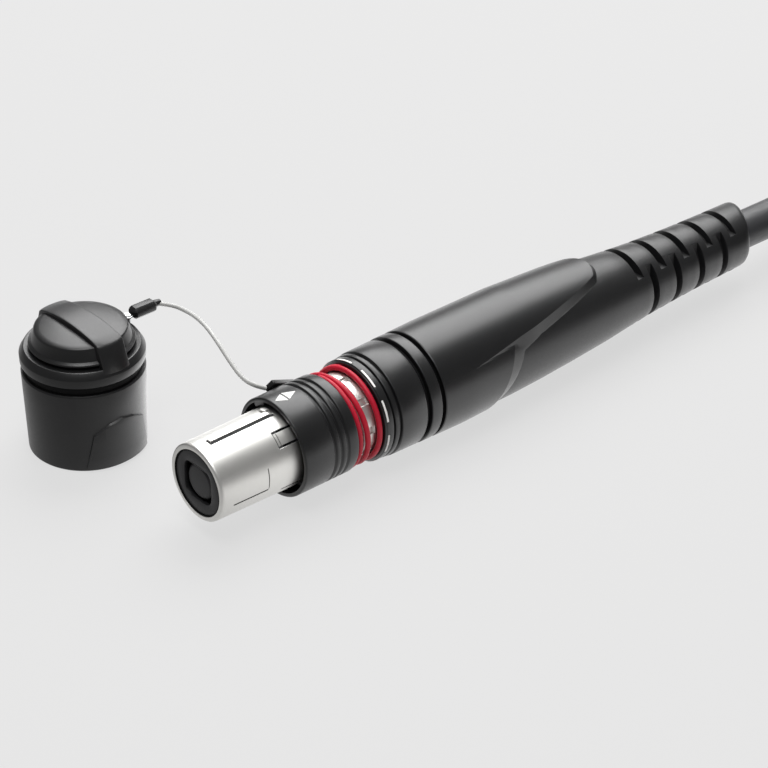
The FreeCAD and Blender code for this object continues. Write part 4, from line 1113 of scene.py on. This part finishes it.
@dataclass
class Terminals:
    """The moulded rope ends: a chamfered block on the cap's pin and a flat bar strapped to the collar."""

    block: Station = (18.0, 25.1)
    block_size: Station = (3.5, 3.0)
    block_chamfer: float = 0.85
    neck: Point = (1.05, 0.72, 2.0)
    centre: Station = (48.3, 15.75)
    loop_x: float = 17.12
    loop_height: float = 29.2
    loop_r: float = 1.15
    loop_wire_r: float = 0.3
    bar_start: Point = (29.1, 9.6, 9.5)
    bar_end: Point = (39.9, 15.19, 2.54)
    bar_size: Station = (3.0, 1.4)
    strap: tuple[Point, Point] = ((36.0, 13.5, -0.2), (56.0, 15.4, 2.6))

    def cap_block(self) -> None:
        """Shapes the block with its tapered neck."""
        bm = bmesh.new()
        cube = bmesh.ops.create_cube(bm, size=1.0)["verts"]
        length = self.block[1] - self.block[0]
        bmesh.ops.scale(bm, verts=cube, vec=(length, *self.block_size))
        bmesh.ops.bevel(bm, geom=bm.edges[:], offset=self.block_chamfer, affect="EDGES", segments=1, profile=0.5,
                        material=-1)
        rounded(bm, 0.1, 20.0)
        wide, narrow, depth = self.neck
        neck = bmesh.ops.create_cone(bm, cap_ends=True, segments=24, radius1=wide, radius2=narrow, depth=depth)["verts"]
        bmesh.ops.rotate(bm, verts=neck, matrix=rotation(90, "Y"))
        bmesh.ops.translate(bm, verts=neck, vec=(length / 2 + 0.5, 0, 0))
        bmesh.ops.translate(bm, verts=bm.verts, vec=(sum(self.block) / 2, *self.centre))
        settle(bm, "lanyard_block", BLACK_NYLON, "lanyard_terminal_cap")

    def loop(self) -> None:
        """Bends the steel loop that holds the block to the pin."""
        angles = [math.radians(45 * i) for i in range(8)]
        bm = turned([(self.loop_height + self.loop_wire_r * math.sin(a), self.loop_r + self.loop_wire_r * math.cos(a))
                     for a in angles], 32, True, (self.loop_x, self.centre[0]))
        settle(bm, "lanyard_loop", STEEL, sharp=80.0)

    def plug_bar(self) -> None:
        """Shapes the bar and the strap that runs back to the collar."""
        bm = bmesh.new()
        start, end = Vector(self.bar_start), Vector(self.bar_end)
        ahead = (end - start).normalized()
        out = Vector((0.0, *((start + end) / 2)[1:]))
        side = out.cross(ahead).normalized()
        low, high = (Vector(corner) for corner in self.strap)
        for size, middle, turn in (
                (((end - start).length, *self.bar_size), (start + end) / 2,
                 Matrix((ahead, side, ahead.cross(side))).transposed()),
                (high - low, (low + high) / 2, Matrix.Identity(3))):
            cube = bmesh.ops.create_cube(bm, size=1.0)["verts"]
            bmesh.ops.scale(bm, verts=cube, vec=size)
            bmesh.ops.rotate(bm, verts=cube, matrix=turn)
            bmesh.ops.translate(bm, verts=cube, vec=middle)
        rounded(bm, 0.35, 40.0, 3)
        settle(bm, "lanyard_bar", BLACK_NYLON, "lanyard_terminal_plug")

    def build(self) -> None:
        """Makes both rope ends."""
        self.cap_block()
        self.loop()
        self.plug_bar()


@dataclass
class FarEnd:
    """The second plug, lying beside the coil with its cap pushed on."""

    plug: tuple[str, ...] = (
        "sleeve_shell", "sleeve_mark_front", "sleeve_mark_rear", "spring_wire", "spring_seat_ring", "collar_body",
        "barrel_band", "groove_seals", "grip_skin", "boot_skin")
    cap: tuple[str, ...] = ("cap_cup_wall", "cap_seal_ring", "cap_flange_ring", "cap_knob_dome", "cap_finger_bar")
    shift: Point = (86.3, -134.94, 1.25)
    cap_foot: Point = (108.4, -134.94, 1.25)

    def copy(self, node: str, names: tuple[str, ...], place: Matrix) -> list[Object]:
        """Copies near pieces, those of one finish as one piece.

        Args:
            node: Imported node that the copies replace, which starts their names.
            names: Pieces at the near end.
            place: Where the copies go.

        Returns:
            The copies.
        """
        groups: dict[str, list[Object]] = {}
        for piece in (bpy.data.objects[name] for name in names):
            groups.setdefault(piece.data.materials[0].name, []).append(piece)
        made = []
        for finish, members in groups.items():
            bm = bmesh.new()
            for source in members:
                bm.from_mesh(source.data)
            bmesh.ops.transform(bm, matrix=place, verts=bm.verts)
            piece = solid(bm, f"{node}_{finish}", members[0].data.materials[0])
            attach(piece, "plug")
            if "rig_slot" in members[0]:
                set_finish(piece, members[0]["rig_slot"])
            if not made:
                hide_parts(node)
            made.append(piece)
        return made

    def build(self) -> list[Object]:
        """Copies the near plug and cap.

        Returns:
            The copies.
        """
        moved = Matrix.Translation(Vector(self.shift) * MM)
        onto = Matrix.Translation(Vector(self.cap_foot) * MM) @ rotation(-90, "Y").to_4x4() @ \
            Matrix.Translation(Vector((*CAP_CENTRE, FLOOR_Z)) * -MM)
        return self.copy("far_plug", self.plug, moved) + self.copy("far_cap", self.cap, onto)


@dataclass
class Studio:
    """Floor, soft light and camera."""

    eye: Point = (-309.39, -425.39, 361.26)
    azimuth: float = -40.663
    elevation: float = 32.541
    lens: float = 131.58
    floor_tone: str = "#e4e4e4"
    paper_tone: str = "#c8c7c7"
    plain_share: float = 0.84
    glow_span: Station = (-0.03, 0.09)
    glow_range: Station = (0.5, 2.3)
    reflection_spot: Station = (0.034, 0.042)
    reflection_spot_r: float = 0.045
    reflection_spot_glow: float = 3.0
    lamp_aim: Point = (0.08, 0.0, 0.0)
    room_light: float = 0.21

    def paper(self) -> Material:
        """Makes the floor's paper: plain to the camera, shaded by the light where the object stands, a painted
        reflection glow in glossy rays.

        Returns:
            The material.
        """
        material = bpy.data.materials.new("pale_paper_floor")
        material.use_nodes = True
        tree = material.node_tree
        tree.nodes.remove(tree.nodes["Principled BSDF"])
        path = add_node(tree, "LightPath").node.outputs
        ray = add_node(tree, "Math", {0: path["Is Camera Ray"], 1: path["Is Glossy Ray"]}, operation="MAXIMUM")
        paper = add_node(tree, "BsdfDiffuse", {"Color": linear(self.paper_tone)})
        # Painted reflection: in glossy rays the paper glows, brighter towards the lamp's side of the table and in a
        # round spot beside the cap.
        spot = add_node(tree, "TexCoord", out="Object")
        across = add_node(tree, "SeparateXYZ", {0: spot}, "X")
        ramp = add_node(tree, "MapRange", {
            "Value": across, "From Min": self.glow_span[0], "From Max": self.glow_span[1],
            "To Min": self.glow_range[0], "To Max": self.glow_range[1]})
        away = add_node(tree, "VectorMath", {0: spot, 1: (*self.reflection_spot, FLOOR_Z * MM)}, "Value", operation="DISTANCE")
        fade = {"Value": away, "From Max": self.reflection_spot_r, "To Min": self.reflection_spot_glow, "To Max": 0.0}
        reflection_spot = add_node(tree, "MapRange", fade, interpolation_type="SMOOTHSTEP")
        both = add_node(tree, "Math", {0: ramp, 1: reflection_spot}, operation="ADD")
        level = add_node(tree, "Mix", {0: path["Is Camera Ray"], 2: both, 3: 1.0})
        glow = add_node(tree, "Emission", {"Color": linear(self.floor_tone), "Strength": level})
        share = add_node(tree, "Math", {0: ray, 1: self.plain_share}, operation="MULTIPLY")
        mixed = add_node(tree, "MixShader", {0: share, 1: paper, 2: glow})
        tree.links.new(mixed, tree.nodes["Material Output"].inputs["Surface"])
        return material

    def floor(self) -> None:
        """Lays a plain pale floor."""
        bm = bmesh.new()
        bmesh.ops.create_grid(bm, x_segments=1, y_segments=1, size=20.0)
        bmesh.ops.translate(bm, vec=(0, 0, FLOOR_Z * MM), verts=bm.verts)
        solid(bm, "studio_floor", self.paper())

    def lamp(self, name: str, way: Point, distance: float, size: float, radiance: float) -> None:
        """Hangs one square soft light that faces the plug.

        Args:
            name: Lamp name.
            way: Direction from the plug to the lamp.
            distance: How far away it hangs, in metres.
            size: Side of the square, in metres.
            radiance: Brightness of its face.
        """
        light = bpy.data.lights.new(name, "AREA")
        light.shape = "SQUARE"
        light.size = size
        light.energy = radiance * math.pi * size * size
        out = Vector(way).normalized()
        link(name, light).matrix_world = Matrix.Translation(Vector(self.lamp_aim) + out * distance) @ \
            out.to_track_quat("Z", "Y").to_matrix().to_4x4()

    def lights(self) -> None:
        """Sets one large soft box behind, a smaller one above, and a dim even room."""
        self.lamp("overhead_soft_box", (0.5, 0.42, 0.8), 1.2, 1.1, 6.2)
        self.lamp("ceiling_soft_box", (-0.22, -0.16, 1.0), 1.2, 0.6, 7.0)
        world = bpy.data.worlds.new("dim_studio")
        world.use_nodes = True
        bpy.context.scene.world = world
        sockets = world.node_tree.nodes["Background"].inputs
        sockets["Color"].default_value = linear("#ffffff")
        sockets["Strength"].default_value = self.room_light

    def camera(self) -> None:
        """Sets the camera where the photograph was taken."""
        lens = bpy.data.cameras.new("camera")
        lens.lens = self.lens
        lens.sensor_width = 36.0
        lens.sensor_fit = "HORIZONTAL"
        lens.clip_start = 0.01
        a, e = math.radians(self.azimuth), math.radians(self.elevation)
        right = Vector((math.cos(a), math.sin(a), 0.0))
        back = Vector((math.sin(a) * math.cos(e), -math.cos(a) * math.cos(e), math.sin(e)))
        turn = Matrix((right, back.cross(right), back)).transposed().to_4x4()
        bpy.context.scene.camera = link("camera", lens)
        bpy.context.scene.camera.matrix_world = Matrix.Translation(Vector(self.eye) * MM) @ turn

    def build(self) -> None:
        """Sets camera, floor and light."""
        self.camera()
        self.floor()
        self.lights()


def dress_cad() -> None:
    """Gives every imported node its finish."""
    for finish, names in CAD_FINISHES:
        for holder in (s for name in names for s in frame["nodes"][name].material_slots):
            holder.material = finish.material()


def main() -> None:
    """Builds every sub-assembly in order and reports each piece."""
    logging.basicConfig(level=logging.INFO, format="%(message)s")
    bpy.context.scene.view_settings.view_transform = "Standard"
    Studio().build()
    dress_cad()
    for assembly in (Nose, LockingSleeve, ReturnSpring, Barrel, Grip, Boot, DustCap, Terminals):
        assembly().build()
    far_end = FarEnd().build()
    Cable().build([frame["nodes"]["coil_tie"], *far_end])
    Lanyard().build()
    for piece in bpy.context.scene.objects:
        LOG.info("%s: %s", piece.name, ", ".join(holder.name for holder in piece.material_slots))


if __name__ == "__main__":
    main()
